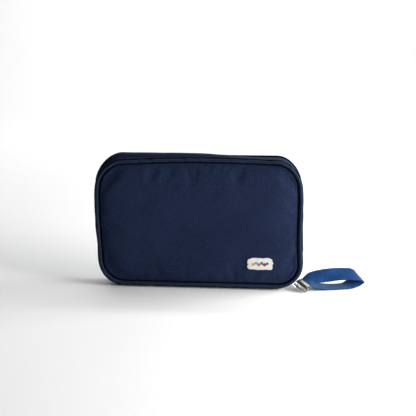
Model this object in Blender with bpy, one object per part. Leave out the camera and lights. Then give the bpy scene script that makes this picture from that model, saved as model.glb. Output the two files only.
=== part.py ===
"""A soft zip-around travel document organizer standing on its long bottom edge.

Frame: metres, +X to the right, +Y to the back, +Z up. The origin is on the
standing surface, under the middle of the case. The front cover hinges on the
bottom edge, and the zip runs up both short sides and over the top.
"""

import math

import bmesh
import bpy
from mathutils import Matrix, Vector


def square_to(vector, axis):
    """The part of a direction that is square to an axis, as a unit vector."""
    return (vector - axis * vector.dot(axis)).normalized()


# Driving dimensions of the case
WIDTH = 0.232
HEIGHT = 0.148
CORNER_RADIUS = 0.030
RIM_Y = 0.0142  # the two panel rims stand at -RIM_Y and +RIM_Y
CROWN = 0.0036  # how far each padded panel swells past its rim
GAP = 0.0003  # running gap between touching pieces

# Front and back frames sit inside the bulging gusset
FRAME_INSET = 0.0039
FRAME_LIFT = 0.0050
PIPING_RADIUS = 0.0016
PANEL_INSET = 0.0021  # panel rim, measured inward from the piping's centre
SKIN = 0.0009
LINING = 0.0006
INNER_Y = 0.0099  # faces of the linings towards the inside
BINDING_Y = (0.0098, 0.0121)

# Zip around three sides
TAPE_FRONT_Y = (-0.0122, -0.0092)
COIL_FRONT_Y = (-0.0089, -0.0079)
COIL_BACK_Y = (-0.0066, -0.0056)
TAPE_BACK_Y = (-0.0053, -0.0028)
GUSSET_Y = (-0.0025, 0.0122)
ZIP_START_DEG = 10.0  # angle up the lower corner arcs where the zip begins
SLIDER_DEG = 41.0  # where the slider stands when the zip is closed
SLIDER_LENGTH = 0.0070
SLIDER_WIDTH = 0.0048
PLATE = 0.0010
SEAM_DEG = 0.6
ARC_STEPS = 9

# Metal pull link and wrist strap
LINK_DIRECTION = Vector((0.65, -0.71, -0.25)).normalized()
LINK_ACROSS = square_to(Vector((0.62, 0.33, 0.70)), LINK_DIRECTION)
LINK_CENTRE = Vector((0.1134, -0.0134, 0.0053))
LINK_LENGTH = 0.0176
LINK_SPACING = 0.0052
WIRE_RADIUS = 0.0008
BRIDGE_RADIUS = 0.0020
BRIDGE_WIRE = 0.0006
BRIDGE_ALONG = 0.0056  # from the middle of the link's inner bar
STRAP_START = square_to(Vector((0.80, 0.65, 0.26)), LINK_DIRECTION)
STRAP_WIDTH = 0.0150
STRAP_THICKNESS = 0.0010
CLAMP_LENGTH = 0.0158
CLAMP_WALL = 0.0005
CLAMP_HALF_THICK = 0.0019
CLAMP_BACK = 0.0016  # from the bar's middle to the clamp's closed end
CLAMP_MOUTH = 0.0036

ZIP_STOP_DEG = 16.0
PEN_LOOP_X = 0.1046
PEN_LOOP_Z = (0.055, 0.082)
PEN_LOOP_RADIUS = 0.0056
PEN_LOOP_WALL = 0.0008
MESH_ZIP_Z = 0.1233
MESH_SLIDER_X = 0.0860
MESH_COIL = 0.0010
MESH_PLATE = 0.0010
MESH_TAB_PIN = 0.0011  # from the middle of the plate out to the tab's pin
MESH_TAB_BAR = 0.0007
MESH_TAB_LENGTH = 0.0125
MESH_TAB_WIDTH = 0.0052
BOW_RADIUS = 0.0026
BOW_FOOT = 0.0008
BOW_RISE = 0.0014
BOW_WIRE = 0.0005
LABEL_LIFT = 0.0004
LABEL_THICKNESS = 0.0006
POCKET_CLOTH = 0.0006

NAVY = (0.012, 0.020, 0.052)
NAVY_DARK = (0.006, 0.009, 0.022)
LINING_GREY = (0.10, 0.12, 0.17)
STRAP_BLUE = (0.012, 0.080, 0.310)
LABEL_WHITE = (0.82, 0.80, 0.76)
FOAM_WHITE = (0.70, 0.70, 0.68)
METAL = (0.72, 0.70, 0.66)


def clear_scene():
    for item in list(bpy.data.objects):
        bpy.data.objects.remove(item)


def material(name, colour, roughness, metallic=0.0):
    made = bpy.data.materials.new(name)
    made.use_nodes = True
    shader = made.node_tree.nodes["Principled BSDF"]
    shader.inputs["Base Color"].default_value = (*colour, 1.0)
    shader.inputs["Roughness"].default_value = roughness
    shader.inputs["Metallic"].default_value = metallic
    return made


def add_object(name, mesh_data, made_of, smooth_deg=40.0):
    """Link one closed mesh as a named piece, its faces pointing out."""
    mesh = bpy.data.meshes.new(name)
    mesh_data.normal_update()
    bmesh.ops.recalc_face_normals(mesh_data, faces=mesh_data.faces)
    mesh_data.to_mesh(mesh)
    mesh_data.free()
    mesh.shade_smooth()
    mesh.set_sharp_from_angle(angle=math.radians(smooth_deg))
    piece = bpy.data.objects.new(name, mesh)
    bpy.context.scene.collection.objects.link(piece)
    name_colour, roughness, metallic = made_of
    mesh.materials.append(material(name, name_colour, roughness, metallic))
    return piece


FABRIC = (NAVY, 0.85, 0.0)
FABRIC_DARK = (NAVY_DARK, 0.80, 0.0)
LINING_CLOTH = (LINING_GREY, 0.80, 0.0)
FOAM = (FOAM_WHITE, 0.95, 0.0)
STEEL = (METAL, 0.28, 1.0)


def corner_degrees(first_deg):
    """Angles round one corner. The two lower corners carry one more, just
    short of the zip's end, where the spine stops."""
    degrees = [90 * step / ARC_STEPS for step in range(ARC_STEPS + 1)]
    if first_deg == -90:
        degrees.append(ZIP_START_DEG - SEAM_DEG)
    if first_deg == 180:
        degrees.append(90 - ZIP_START_DEG + SEAM_DEG)
    return [first_deg + turned for turned in sorted(degrees)]


def stations(width, height, radius, centre_z):
    """Points and outward normals round a rounded rectangle, from the bottom's
    right end up and on round. Each is (x, z, normal x, normal z)."""
    half = Vector((width / 2 - radius, height / 2 - radius))
    found = []
    corners = ((1, -1, -90), (1, 1, 0), (-1, 1, 90), (-1, -1, 180))
    for side_x, side_z, first_deg in corners:
        centre = Vector((side_x * half.x, centre_z + side_z * half.y))
        for degrees in corner_degrees(first_deg):
            angle = math.radians(degrees)
            normal = Vector((math.cos(angle), math.sin(angle)))
            point = centre + normal * radius
            found.append((point.x, point.y, normal.x, normal.y))
    return found


OUTER = stations(WIDTH, HEIGHT, CORNER_RADIUS, HEIGHT / 2)
FRAME_WIDTH = WIDTH - 2 * FRAME_INSET
FRAME_HEIGHT = HEIGHT - FRAME_INSET - FRAME_LIFT
FRAME_Z = FRAME_LIFT + FRAME_HEIGHT / 2
FRAME_RADIUS = CORNER_RADIUS - FRAME_INSET
FRAME = stations(FRAME_WIDTH, FRAME_HEIGHT, FRAME_RADIUS, FRAME_Z)


SPINE_END = 2  # stations from the bottom's end to the zip's end


def zip_stations(line):
    """The stretch of a closed line that the zip follows: from the lower right
    corner, up and over the top, down to the lower left corner."""
    return line[SPINE_END:-SPINE_END]


def spine_stations(line):
    """The stretch along the bottom between the two ends of the zip."""
    return line[-SPINE_END:] + line[:SPINE_END]


def sweep(name, line, profile, closed, made_of):
    """Carry a closed section along a line. The section is a list of
    (inset, y), where inset is measured inward from the line."""
    mesh = bmesh.new()
    rings = []
    for x, z, normal_x, normal_z in line:
        ring = []
        for inset, y in profile:
            place = (x - normal_x * inset, y, z - normal_z * inset)
            ring.append(mesh.verts.new(place))
        rings.append(ring)
    count = len(profile)
    spans = len(rings) if closed else len(rings) - 1
    for index in range(spans):
        here = rings[index]
        there = rings[(index + 1) % len(rings)]
        for side in range(count):
            after = (side + 1) % count
            mesh.faces.new((here[side], here[after], there[after], there[side]))
    if not closed:
        mesh.faces.new(rings[0])
        mesh.faces.new(rings[-1][::-1])
    return add_object(name, mesh, made_of)


def round_section(inset, y, radius, sides=8):
    section = []
    for side in range(sides):
        angle = 2 * math.pi * side / sides
        place = (inset + radius * math.cos(angle), y + radius * math.sin(angle))
        section.append(place)
    return section


def box_section(inset_low, inset_high, y_low, y_high):
    return [
        (inset_low, y_low),
        (inset_high, y_low),
        (inset_high, y_high),
        (inset_low, y_high),
    ]


def crown_at(share):
    """Swell of a padded panel, from 0 at its rim (share 1) to CROWN inside."""
    return CROWN * (1 - share**3.2)


RING_SHARES = (1.0, 0.96, 0.90, 0.82, 0.72, 0.58, 0.40)


def crowned_plate(name, inset, outer_y, inner_y, facing, made_of, inner_crowned):
    """A rounded rectangular pad whose outer face swells. facing is -1 on the
    front cover and +1 on the back. outer_y and inner_y are the rim's faces."""
    mesh = bmesh.new()
    layers = []
    for surface_y, crowned in ((outer_y, True), (inner_y, inner_crowned)):
        rings = []
        for share in RING_SHARES:
            swell = crown_at(share) if crowned else 0.0
            ring = []
            for x, z, normal_x, normal_z in FRAME:
                rim_x = x - normal_x * inset
                rim_z = z - normal_z * inset - FRAME_Z
                y = facing * (surface_y + swell)
                ring.append(mesh.verts.new((rim_x * share, y, FRAME_Z + rim_z * share)))
            rings.append(ring)
        layers.append(rings)
    count = len(FRAME)
    for rings in layers:
        for outer, inner in zip(rings, rings[1:]):
            for index in range(count):
                after = (index + 1) % count
                corner = (outer[index], outer[after], inner[after], inner[index])
                mesh.faces.new(corner)
        mesh.faces.new(rings[-1])
    for index in range(count):
        after = (index + 1) % count
        rim = (layers[0][0][index], layers[0][0][after])
        mesh.faces.new((*rim, layers[1][0][after], layers[1][0][index]))
    return add_object(name, mesh, made_of)


def rounded_rectangle(x_low, x_high, z_low, z_high, radius, steps=3):
    """Corner points of a rounded rectangle in the XZ plane."""
    points = []
    corners = (
        (x_high - radius, z_low + radius, -90),
        (x_high - radius, z_high - radius, 0),
        (x_low + radius, z_high - radius, 90),
        (x_low + radius, z_low + radius, 180),
    )
    for centre_x, centre_z, first_deg in corners:
        for step in range(steps + 1):
            angle = math.radians(first_deg + 90 * step / steps)
            x = centre_x + radius * math.cos(angle)
            z = centre_z + radius * math.sin(angle)
            points.append((x, z))
    return points


def prism(name, points, y_low, y_high, made_of):
    """A flat sheet: an outline in the XZ plane, given a thickness along Y."""
    mesh = bmesh.new()
    front = [mesh.verts.new((x, y_low, z)) for x, z in points]
    back = [mesh.verts.new((x, y_high, z)) for x, z in points]
    count = len(points)
    for index in range(count):
        after = (index + 1) % count
        mesh.faces.new((front[index], front[after], back[after], back[index]))
    mesh.faces.new(front[::-1])
    mesh.faces.new(back)
    return add_object(name, mesh, made_of)


def sheet(name, x_span, z_span, y_span, radius, made_of):
    points = rounded_rectangle(*x_span, *z_span, radius)
    return prism(name, points, *y_span, made_of)


def tube(name, points, radius, made_of, sides=10, closed=False):
    """A round bar along points. closed joins the last point to the first."""
    return ribbon(name, points, None, radius, radius, made_of, sides, closed)


def ribbon(name, points, across, half_wide, half_thick, made_of, sides, closed):
    """Carry a section along points. With across given, the section is a strap
    whose width lies along it; without, the section is round."""
    mesh = bmesh.new()
    rings = []
    count = len(points)
    for index, point in enumerate(points):
        before = points[index - 1] if closed or index else point
        after_index = (index + 1) % count if closed else min(index + 1, count - 1)
        tangent = (points[after_index] - before).normalized()
        wide = across[index] if across else LINK_ACROSS.cross(LINK_DIRECTION)
        wide = (wide - tangent * wide.dot(tangent)).normalized()
        thick = tangent.cross(wide).normalized()
        ring = []
        for side in range(sides):
            if across:
                corner = ((-1, -1), (1, -1), (1, 1), (-1, 1))[side]
                offset = wide * corner[0] * half_wide + thick * corner[1] * half_thick
            else:
                angle = 2 * math.pi * side / sides
                offset = (wide * math.cos(angle) + thick * math.sin(angle)) * half_wide
            ring.append(mesh.verts.new(point + offset))
        rings.append(ring)
    spans = count if closed else count - 1
    for index in range(spans):
        here = rings[index]
        there = rings[(index + 1) % count]
        for side in range(sides):
            after = (side + 1) % sides
            mesh.faces.new((here[side], here[after], there[after], there[side]))
    if not closed:
        mesh.faces.new(rings[0])
        mesh.faces.new(rings[-1][::-1])
    return add_object(name, mesh, made_of)


def block(centre, axes, sizes, bevel):
    """A bmesh box with its own axes and slightly rounded edges."""
    mesh = bmesh.new()
    turn = Matrix(axes).transposed().to_4x4()
    scale = Matrix.Diagonal((*sizes, 1.0))
    place = Matrix.Translation(centre) @ turn @ scale
    bmesh.ops.create_cube(mesh, size=1.0, matrix=place)
    if bevel:
        bmesh.ops.bevel(
            mesh,
            geom=list(mesh.edges),
            offset=bevel,
            segments=2,
            affect="EDGES",
            clamp_overlap=True,
        )
    return mesh


def build_shells():
    """The two padded covers: outer fabric, foam board, lining and piping."""
    for side, facing in (("front", -1), ("back", 1)):
        rim = PANEL_INSET
        foam_y = RIM_Y - SKIN - GAP
        lining_y = INNER_Y + LINING
        crowned_plate(f"{side}_panel", rim, RIM_Y, RIM_Y - SKIN, facing, FABRIC, True)
        foam_in = lining_y + GAP
        crowned_plate(f"{side}_foam_board", rim, foam_y, foam_in, facing, FOAM, False)
        y_span = sorted((facing * lining_y, facing * INNER_Y))
        points = [(x - nx * rim, z - nz * rim) for x, z, nx, nz in FRAME]
        prism(f"{side}_lining", points, *y_span, LINING_CLOTH)
        piping = round_section(0.0, facing * RIM_Y, PIPING_RADIUS)
        sweep(f"{side}_piping", FRAME, piping, True, FABRIC)
        binding_y = sorted(facing * y for y in BINDING_Y)
        binding = box_section(0.0005, 0.0018, *binding_y)
        sweep(f"{side}_binding", FRAME, binding, True, FABRIC_DARK)


def build_gusset():
    """The strip that gives the case its depth, its lining, and the spine."""
    start, end = GUSSET_Y
    bulge = [
        (0.0018, start),
        (0.0004, start + 0.003),
        (0.0, start + 0.006),
        (0.0, end - 0.005),
        (0.0016, end),
        (0.0028, end),
        (0.0012, end - 0.005),
        (0.0012, start + 0.006),
        (0.0030, start),
    ]
    sweep("side_gusset", zip_stations(OUTER), bulge, False, FABRIC)
    inside = box_section(0.0033, 0.0039, start + 0.0004, BINDING_Y[0] - GAP)
    sweep("gusset_lining", zip_stations(OUTER), inside, False, LINING_CLOTH)
    spine = [
        (0.0024, -0.0100),
        (0.0, -0.0085),
        (0.0, end - 0.004),
        (0.0020, end),
        (0.0034, end),
        (0.0020, end - 0.004),
        (0.0020, -0.0085),
        (0.0034, -0.0096),
    ]
    sweep("spine_gusset", spine_stations(OUTER), spine, False, FABRIC)
    inside = box_section(0.0037, 0.0043, -0.0090, BINDING_Y[0] - GAP)
    sweep("spine_lining", spine_stations(OUTER), inside, False, LINING_CLOTH)


def build_zip():
    """Tapes and coils of both halves, and the stops at the closed end."""
    line = zip_stations(OUTER)
    front = box_section(0.0034, 0.0040, *TAPE_FRONT_Y)
    sweep("zip_tape_front", line, front, False, FABRIC_DARK)
    front_coil = box_section(0.0031, 0.0043, *COIL_FRONT_Y)
    sweep("zip_coil_front", line, front_coil, False, FABRIC_DARK)
    back_coil = box_section(0.0031, 0.0043, *COIL_BACK_Y)
    sweep("zip_coil_back", line, back_coil, False, FABRIC_DARK)
    back = box_section(0.0034, 0.0040, *TAPE_BACK_Y)
    sweep("zip_tape_back", line, back, False, FABRIC_DARK)


def corner_axes(angle_deg):
    """Outward and upward directions at an angle up the lower right corner."""
    angle = math.radians(angle_deg - 90)
    outward = Vector((math.cos(angle), 0, math.sin(angle)))
    along = Vector((-math.sin(angle), 0, math.cos(angle)))
    return outward, along


CORNER_CENTRE = Vector((WIDTH / 2 - CORNER_RADIUS, 0, CORNER_RADIUS))


def build_slider():
    """The zip slider: plates outside and inside the tapes, joined by a neck
    between the coils, and a bridge that holds the pull link."""
    outward, along = corner_axes(SLIDER_DEG)
    axes = (outward, along, Vector((0, 1, 0)))
    middle_y = (COIL_FRONT_Y[1] + COIL_BACK_Y[0]) / 2
    centre = CORNER_CENTRE + Vector((0, middle_y, 0))
    coil_top = CORNER_RADIUS - 0.0031
    outer_at = coil_top + 0.0006 + PLATE / 2
    inner_at = coil_top - 0.0012 - 0.0012 - PLATE / 2
    plate = (PLATE, SLIDER_LENGTH, SLIDER_WIDTH)
    neck = (outer_at - inner_at, 0.0022, 0.0007)
    pieces = (
        block(centre + outward * outer_at, axes, plate, 0.0003),
        block(centre + outward * inner_at, axes, plate, 0.0003),
        block(centre + outward * (outer_at + inner_at) / 2, axes, neck, 0.0),
    )
    names = ("slider_body", "slider_inner", "slider_neck")
    body, *others = [
        add_object(name, mesh, STEEL) for name, mesh in zip(names, pieces)
    ]
    others.append(build_bridge(outward, outer_at))
    for other in others:
        join_into(body, other)


def build_bridge(outward, plate_at):
    """A wire arch over the link's inner bar, with both feet in the plate."""
    bar = LINK_CENTRE - LINK_ACROSS * (LINK_SPACING / 2)
    top = bar - LINK_DIRECTION * BRIDGE_ALONG
    side = outward.cross(LINK_DIRECTION).normalized() * BRIDGE_RADIUS
    height = (top - CORNER_CENTRE).dot(outward) - plate_at
    points = [top + side - outward * height]
    for step in range(9):
        angle = math.pi * step / 8
        rise = outward * BRIDGE_RADIUS * math.sin(angle)
        points.append(top + side * math.cos(angle) + rise)
    points.append(top - side - outward * height)
    return tube("slider_bridge", points, BRIDGE_WIRE, STEEL, sides=8)


def join_into(body, other):
    """Union of two overlapping solids, kept under the first one's name."""
    union = body.modifiers.new("union", "BOOLEAN")
    union.operation = "UNION"
    union.solver = "EXACT"
    union.object = other
    bpy.context.view_layer.update()
    graph = bpy.context.evaluated_depsgraph_get()
    mesh = bpy.data.meshes.new_from_object(body.evaluated_get(graph))
    body.modifiers.clear()
    body.data = mesh
    bpy.data.objects.remove(other)
    return body


def rounded_loop(corners, radius, steps=4):
    """A closed loop of points with its corners rounded off."""
    points = []
    count = len(corners)
    for index, corner in enumerate(corners):
        before = (corners[index - 1] - corner).normalized() * radius
        after = (corners[(index + 1) % count] - corner).normalized() * radius
        centre = corner + before + after
        for step in range(steps + 1):
            angle = math.pi / 2 * step / steps
            offset = -after * math.cos(angle) - before * math.sin(angle)
            points.append(centre + offset)
    return points


def build_link():
    """The wire link between the slider's bridge and the strap's clamp."""
    half = LINK_DIRECTION * (LINK_LENGTH / 2)
    step = LINK_ACROSS * (LINK_SPACING / 2)
    signs = ((-1, -1), (-1, 1), (1, 1), (1, -1))
    corners = [LINK_CENTRE + step * s + half * h for s, h in signs]
    loop = rounded_loop(corners, 0.0014)
    tube("pull_link", loop, WIRE_RADIUS, STEEL, sides=8, closed=True)


def build_clamp():
    """A folded metal clamp: a channel round the link's outer bar that grips
    both ends of the webbing."""
    bar = LINK_CENTRE + LINK_ACROSS * (LINK_SPACING / 2)
    normal = LINK_DIRECTION.cross(STRAP_START).normalized()
    outer = CLAMP_HALF_THICK
    inner = CLAMP_HALF_THICK - CLAMP_WALL
    back = CLAMP_BACK - CLAMP_WALL
    section = (
        (CLAMP_MOUTH, outer),
        (0.0, outer),
        (-CLAMP_BACK, outer * 0.55),
        (-CLAMP_BACK, -outer * 0.55),
        (0.0, -outer),
        (CLAMP_MOUTH, -outer),
        (CLAMP_MOUTH, -inner),
        (0.0, -inner),
        (-back, -inner * 0.62),
        (-back, inner * 0.62),
        (0.0, inner),
        (CLAMP_MOUTH, inner),
    )
    mesh = bmesh.new()
    half = LINK_DIRECTION * (CLAMP_LENGTH / 2)
    ends = []
    for end in (bar - half, bar + half):
        ring = [
            mesh.verts.new(end + STRAP_START * forward + normal * up)
            for forward, up in section
        ]
        ends.append(ring)
    count = len(section)
    for index in range(count):
        after = (index + 1) % count
        near = (ends[0][index], ends[0][after])
        mesh.faces.new((*near, ends[1][after], ends[1][index]))
    for ring in ends:
        for index in range(count // 2 - 1):
            mirror = count - 1 - index
            corner = (ring[index], ring[index + 1], ring[mirror - 1], ring[mirror])
            mesh.faces.new(corner)
    return add_object("strap_clamp", mesh, STEEL)


def smooth_path(knots, per_span):
    """Catmull-Rom points through the knots, from the first to the last."""
    points = []
    padded = [knots[0]] + list(knots) + [knots[-1]]
    for index in range(1, len(padded) - 2):
        before, start, end, after = padded[index - 1 : index + 3]
        for step in range(per_span):
            t = step / per_span
            points.append(
                0.5
                * (
                    2 * start
                    + (end - before) * t
                    + (2 * before - 5 * start + 4 * end - after) * t**2
                    + (3 * start - before - 3 * end + after) * t**3
                )
            )
    points.append(knots[-1])
    return points


def eased_path(directions, per_span):
    """Unit vectors that turn gently from each direction to the next."""
    found = []
    for here, there in zip(directions, directions[1:]):
        for step in range(per_span):
            t = step / per_span
            eased = t * t * (3 - 2 * t)
            found.append(here.lerp(there, eased).normalized())
    found.append(directions[-1].normalized())
    return found


def build_strap():
    """A loop of webbing: out of the clamp, round the far end, back again.
    Each knot is a point of its middle line and the way its width faces."""
    bar = LINK_CENTRE + LINK_ACROSS * (LINK_SPACING / 2)
    normal = LINK_DIRECTION.cross(STRAP_START).normalized()
    lift = normal * (STRAP_THICKNESS / 2 + GAP / 2)
    start = bar + STRAP_START * 0.0014
    inside = bar + STRAP_START * 0.0034
    mouth = bar + STRAP_START * 0.0060
    clamp_wide = -LINK_DIRECTION
    leaning = Vector((-0.10, 0.45, 0.89))
    flat = Vector((0.0, 0.97, 0.24))
    knots = (
        (start + lift, clamp_wide),
        (inside + lift, clamp_wide),
        (mouth + lift * 1.4, clamp_wide),
        (Vector((0.1270, -0.0045, 0.0130)), clamp_wide.lerp(leaning, 0.55)),
        (Vector((0.1430, -0.0010, 0.0152)), leaning),
        (Vector((0.1580, 0.0012, 0.0162)), leaning),
        (Vector((0.1720, 0.0030, 0.0166)), leaning),
        (Vector((0.1810, 0.0042, 0.0150)), leaning.lerp(flat, 0.10)),
        (Vector((0.1868, 0.0048, 0.0106)), leaning.lerp(flat, 0.35)),
        (Vector((0.1830, 0.0046, 0.0062)), leaning.lerp(flat, 0.70)),
        (Vector((0.1720, 0.0030, 0.0036)), flat),
        (Vector((0.1580, 0.0008, 0.0030)), flat),
        (Vector((0.1430, -0.0020, 0.0030)), flat),
        (Vector((0.1290, -0.0055, 0.0046)), clamp_wide.lerp(flat, 0.5)),
        (mouth - lift * 1.4, clamp_wide),
        (inside - lift, clamp_wide),
        (start - lift, clamp_wide),
    )
    middle = smooth_path([point for point, wide in knots], 4)
    across = eased_path([wide for point, wide in knots], 4)
    half_wide = STRAP_WIDTH / 2
    half_thick = STRAP_THICKNESS / 2
    cloth = (STRAP_BLUE, 0.75, 0.0)
    ribbon("wrist_strap", middle, across, half_wide, half_thick, cloth, 4, False)


def panel_share(x, z):
    """How far out towards the panel's rim a point lies, from 0 to 1."""
    half_x = FRAME_WIDTH / 2 - PANEL_INSET
    half_z = FRAME_HEIGHT / 2 - PANEL_INSET
    return max(abs(x) / half_x, abs(z - FRAME_Z) / half_z)


def build_label():
    """The woven label sewn low on the right of the front cover. Its cut edge
    is wavy, and it follows the swell of the panel."""
    centre = Vector((0.0700, 0.0310))
    half = Vector((0.0150, 0.0072))
    count = 40
    mesh = bmesh.new()
    faces = []
    for layer in (0, 1):
        rings = []
        for share in (1.0, 0.5):
            ring = []
            for index in range(count):
                angle = 2 * math.pi * index / count
                blunt = (abs(math.cos(angle)) ** 6 + abs(math.sin(angle)) ** 6) ** (-1 / 6)
                wave = 1 + 0.035 * math.sin(7 * angle + 0.6) + 0.02 * math.sin(13 * angle)
                reach = blunt * wave * share
                x = centre.x + half.x * reach * math.cos(angle)
                z = centre.y + half.y * reach * math.sin(angle)
                lift = LABEL_LIFT + layer * LABEL_THICKNESS
                y = -RIM_Y - crown_at(panel_share(x, z)) - lift
                ring.append(mesh.verts.new((x, y, z)))
            rings.append(ring)
        for index in range(count):
            after = (index + 1) % count
            corner = (rings[0][index], rings[0][after], rings[1][after], rings[1][index])
            mesh.faces.new(corner)
        mesh.faces.new(rings[1])
        faces.append(rings[0])
    for index in range(count):
        after = (index + 1) % count
        corner = (faces[0][index], faces[0][after], faces[1][after], faces[1][index])
        mesh.faces.new(corner)
    return add_object("label_patch", mesh, (LABEL_WHITE, 0.8, 0.0))


def build_cover_pockets():
    """Inside the front cover: a full-width slip pocket, and on it two columns
    of stepped card slots."""
    top = -INNER_Y + GAP
    pocket = (top, top + POCKET_CLOTH)
    sheet("cover_slip_pocket", (-0.099, 0.099), (0.0125, 0.112), pocket, 0.006, LINING_CLOTH)
    for side, x_low in (("left", -0.0965), ("right", 0.0015)):
        for index in range(3):
            y_low = pocket[1] + GAP + index * (POCKET_CLOTH + GAP)
            z_span = (0.0135, 0.104 - index * 0.014)
            x_span = (x_low, x_low + 0.095)
            name = f"card_slot_{side}_{index + 1}"
            y_span = (y_low, y_low + POCKET_CLOTH)
            sheet(name, x_span, z_span, y_span, 0.004, LINING_CLOTH)


def build_back_pockets():
    """Inside the back: a zipped mesh pocket, a long ticket pocket and two
    passport pockets, one in front of the other, and a pen loop."""
    top = INNER_Y - GAP
    mesh_y = (top - POCKET_CLOTH, top)
    sheet("mesh_pocket", (-0.098, 0.098), (0.0125, 0.1180), mesh_y, 0.006, FABRIC_DARK)
    tape_y = (top - POCKET_CLOTH, top)
    sheet("mesh_zip_tape", (-0.098, 0.098), (0.1183, 0.1290), tape_y, 0.003, FABRIC_DARK)
    coil_y = (tape_y[0] - GAP - MESH_COIL, tape_y[0] - GAP)
    sheet("mesh_zip_coil", (-0.094, 0.094), (0.1226, 0.1240), coil_y, 0.0003, FABRIC_DARK)
    ticket_y = (mesh_y[0] - GAP - POCKET_CLOTH, mesh_y[0] - GAP)
    sheet("ticket_pocket", (-0.096, 0.096), (0.0130, 0.0980), ticket_y, 0.005, LINING_CLOTH)
    passport_y = (ticket_y[0] - GAP - POCKET_CLOTH, ticket_y[0] - GAP)
    for side, x_low in (("left", -0.0945), ("right", 0.0015)):
        x_span = (x_low, x_low + 0.093)
        name = f"passport_pocket_{side}"
        sheet(name, x_span, (0.0135, 0.0800), passport_y, 0.005, LINING_CLOTH)


def build_pen_loop():
    """An elastic tube for a pen, sewn to the lining beside the pockets."""
    centre_y = INNER_Y - GAP - PEN_LOOP_RADIUS
    count = 16
    mesh = bmesh.new()
    rings = []
    for z in PEN_LOOP_Z:
        for radius in (PEN_LOOP_RADIUS, PEN_LOOP_RADIUS - PEN_LOOP_WALL):
            ring = []
            for index in range(count):
                angle = 2 * math.pi * index / count
                x = PEN_LOOP_X + radius * math.cos(angle)
                y = centre_y + radius * math.sin(angle)
                ring.append(mesh.verts.new((x, y, z)))
            rings.append(ring)
    low_out, low_in, high_out, high_in = rings
    bridge_rings(mesh, (low_out, high_out, high_in, low_in))
    return add_object("pen_loop", mesh, FABRIC_DARK)


def build_zip_stops():
    """One stop on the back tape at each end of the zip."""
    outward, along = corner_axes(ZIP_STOP_DEG)
    across = Vector((0, 1, 0))
    place = CORNER_CENTRE + outward * (CORNER_RADIUS - 0.0022)
    place.y = (COIL_BACK_Y[0] + COIL_BACK_Y[1]) / 2
    flip = Vector((-1, 1, 1))
    sizes = (0.0011, 0.0022, 0.0016)
    right = block(place, (outward, along, across), sizes, 0.0003)
    add_object("zip_stop_right", right, STEEL)
    left = block(place * flip, (outward * flip, along * flip, across), sizes, 0.0003)
    add_object("zip_stop_left", left, STEEL)


def build_mesh_slider():
    """The small slider of the mesh pocket's zip, with the bow for its tab."""
    coil_face = INNER_Y - 2 * GAP - POCKET_CLOTH - MESH_COIL
    plate_y = coil_face - GAP - MESH_PLATE / 2
    plate_at = Vector((MESH_SLIDER_X, plate_y, MESH_ZIP_Z))
    axes = (Vector((1, 0, 0)), Vector((0, -1, 0)), Vector((0, 0, 1)))
    plate = block(plate_at, axes, (0.0080, MESH_PLATE, 0.0050), 0.0003)
    body = add_object("mesh_zip_slider", plate, STEEL)
    points = [plate_at - axes[0] * BOW_RADIUS]
    for step in range(9):
        angle = math.pi * (1 - step / 8)
        rise = BOW_FOOT + BOW_RISE * math.sin(angle)
        sideways = axes[0] * BOW_RADIUS * math.cos(angle)
        points.append(plate_at + sideways + axes[1] * rise)
    points.append(plate_at + axes[0] * BOW_RADIUS)
    bow = tube("mesh_zip_bow", points, BOW_WIRE, STEEL, sides=8)
    join_into(body, bow)
    build_mesh_tab(plate_y - MESH_TAB_PIN)


def build_mesh_tab(pin_y):
    """The flat tab: a plate with a window, whose end bar is the hinge pin."""
    half = MESH_TAB_BAR / 2
    right = MESH_SLIDER_X + half
    outline = rounded_rectangle(
        right - MESH_TAB_LENGTH,
        right,
        MESH_ZIP_Z - MESH_TAB_WIDTH / 2,
        MESH_ZIP_Z + MESH_TAB_WIDTH / 2,
        0.0004,
    )
    window = rounded_rectangle(
        MESH_SLIDER_X - 0.0036,
        MESH_SLIDER_X - half,
        MESH_ZIP_Z - 0.0013,
        MESH_ZIP_Z + 0.0013,
        0.0002,
    )
    mesh = bmesh.new()
    loops = []
    for y in (pin_y - half, pin_y + half):
        for points in (outline, window):
            loops.append([mesh.verts.new((x, y, z)) for x, z in points])
    low_out, low_in, high_out, high_in = loops
    bridge_rings(mesh, (low_out, high_out, high_in, low_in))
    return add_object("mesh_zip_tab", mesh, STEEL)


def bridge_rings(mesh, rings):
    """Close the wall between each ring and the next, and the last and first."""
    count = len(rings[0])
    for place, here in enumerate(rings):
        there = rings[(place + 1) % len(rings)]
        for index in range(count):
            after = (index + 1) % count
            mesh.faces.new((here[index], here[after], there[after], there[index]))


def main():
    clear_scene()
    build_shells()
    build_gusset()
    build_zip()
    build_slider()
    build_link()
    build_clamp()
    build_strap()
    build_label()
    build_pen_loop()
    build_zip_stops()
    build_mesh_slider()
    build_cover_pockets()
    build_back_pockets()


main()
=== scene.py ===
"""Looks of the travel document organizer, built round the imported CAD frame.

Metres, +Z up, the front cover faces -Y. Most outlines are worked out from the
boxes of the CAD nodes. settle_shape then lets the soft pieces give way by a few
millimetres, and the strap has a course of its own.
"""

import math

import bmesh
import bpy
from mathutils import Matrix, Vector, noise
from mathutils.bvhtree import BVHTree


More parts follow.
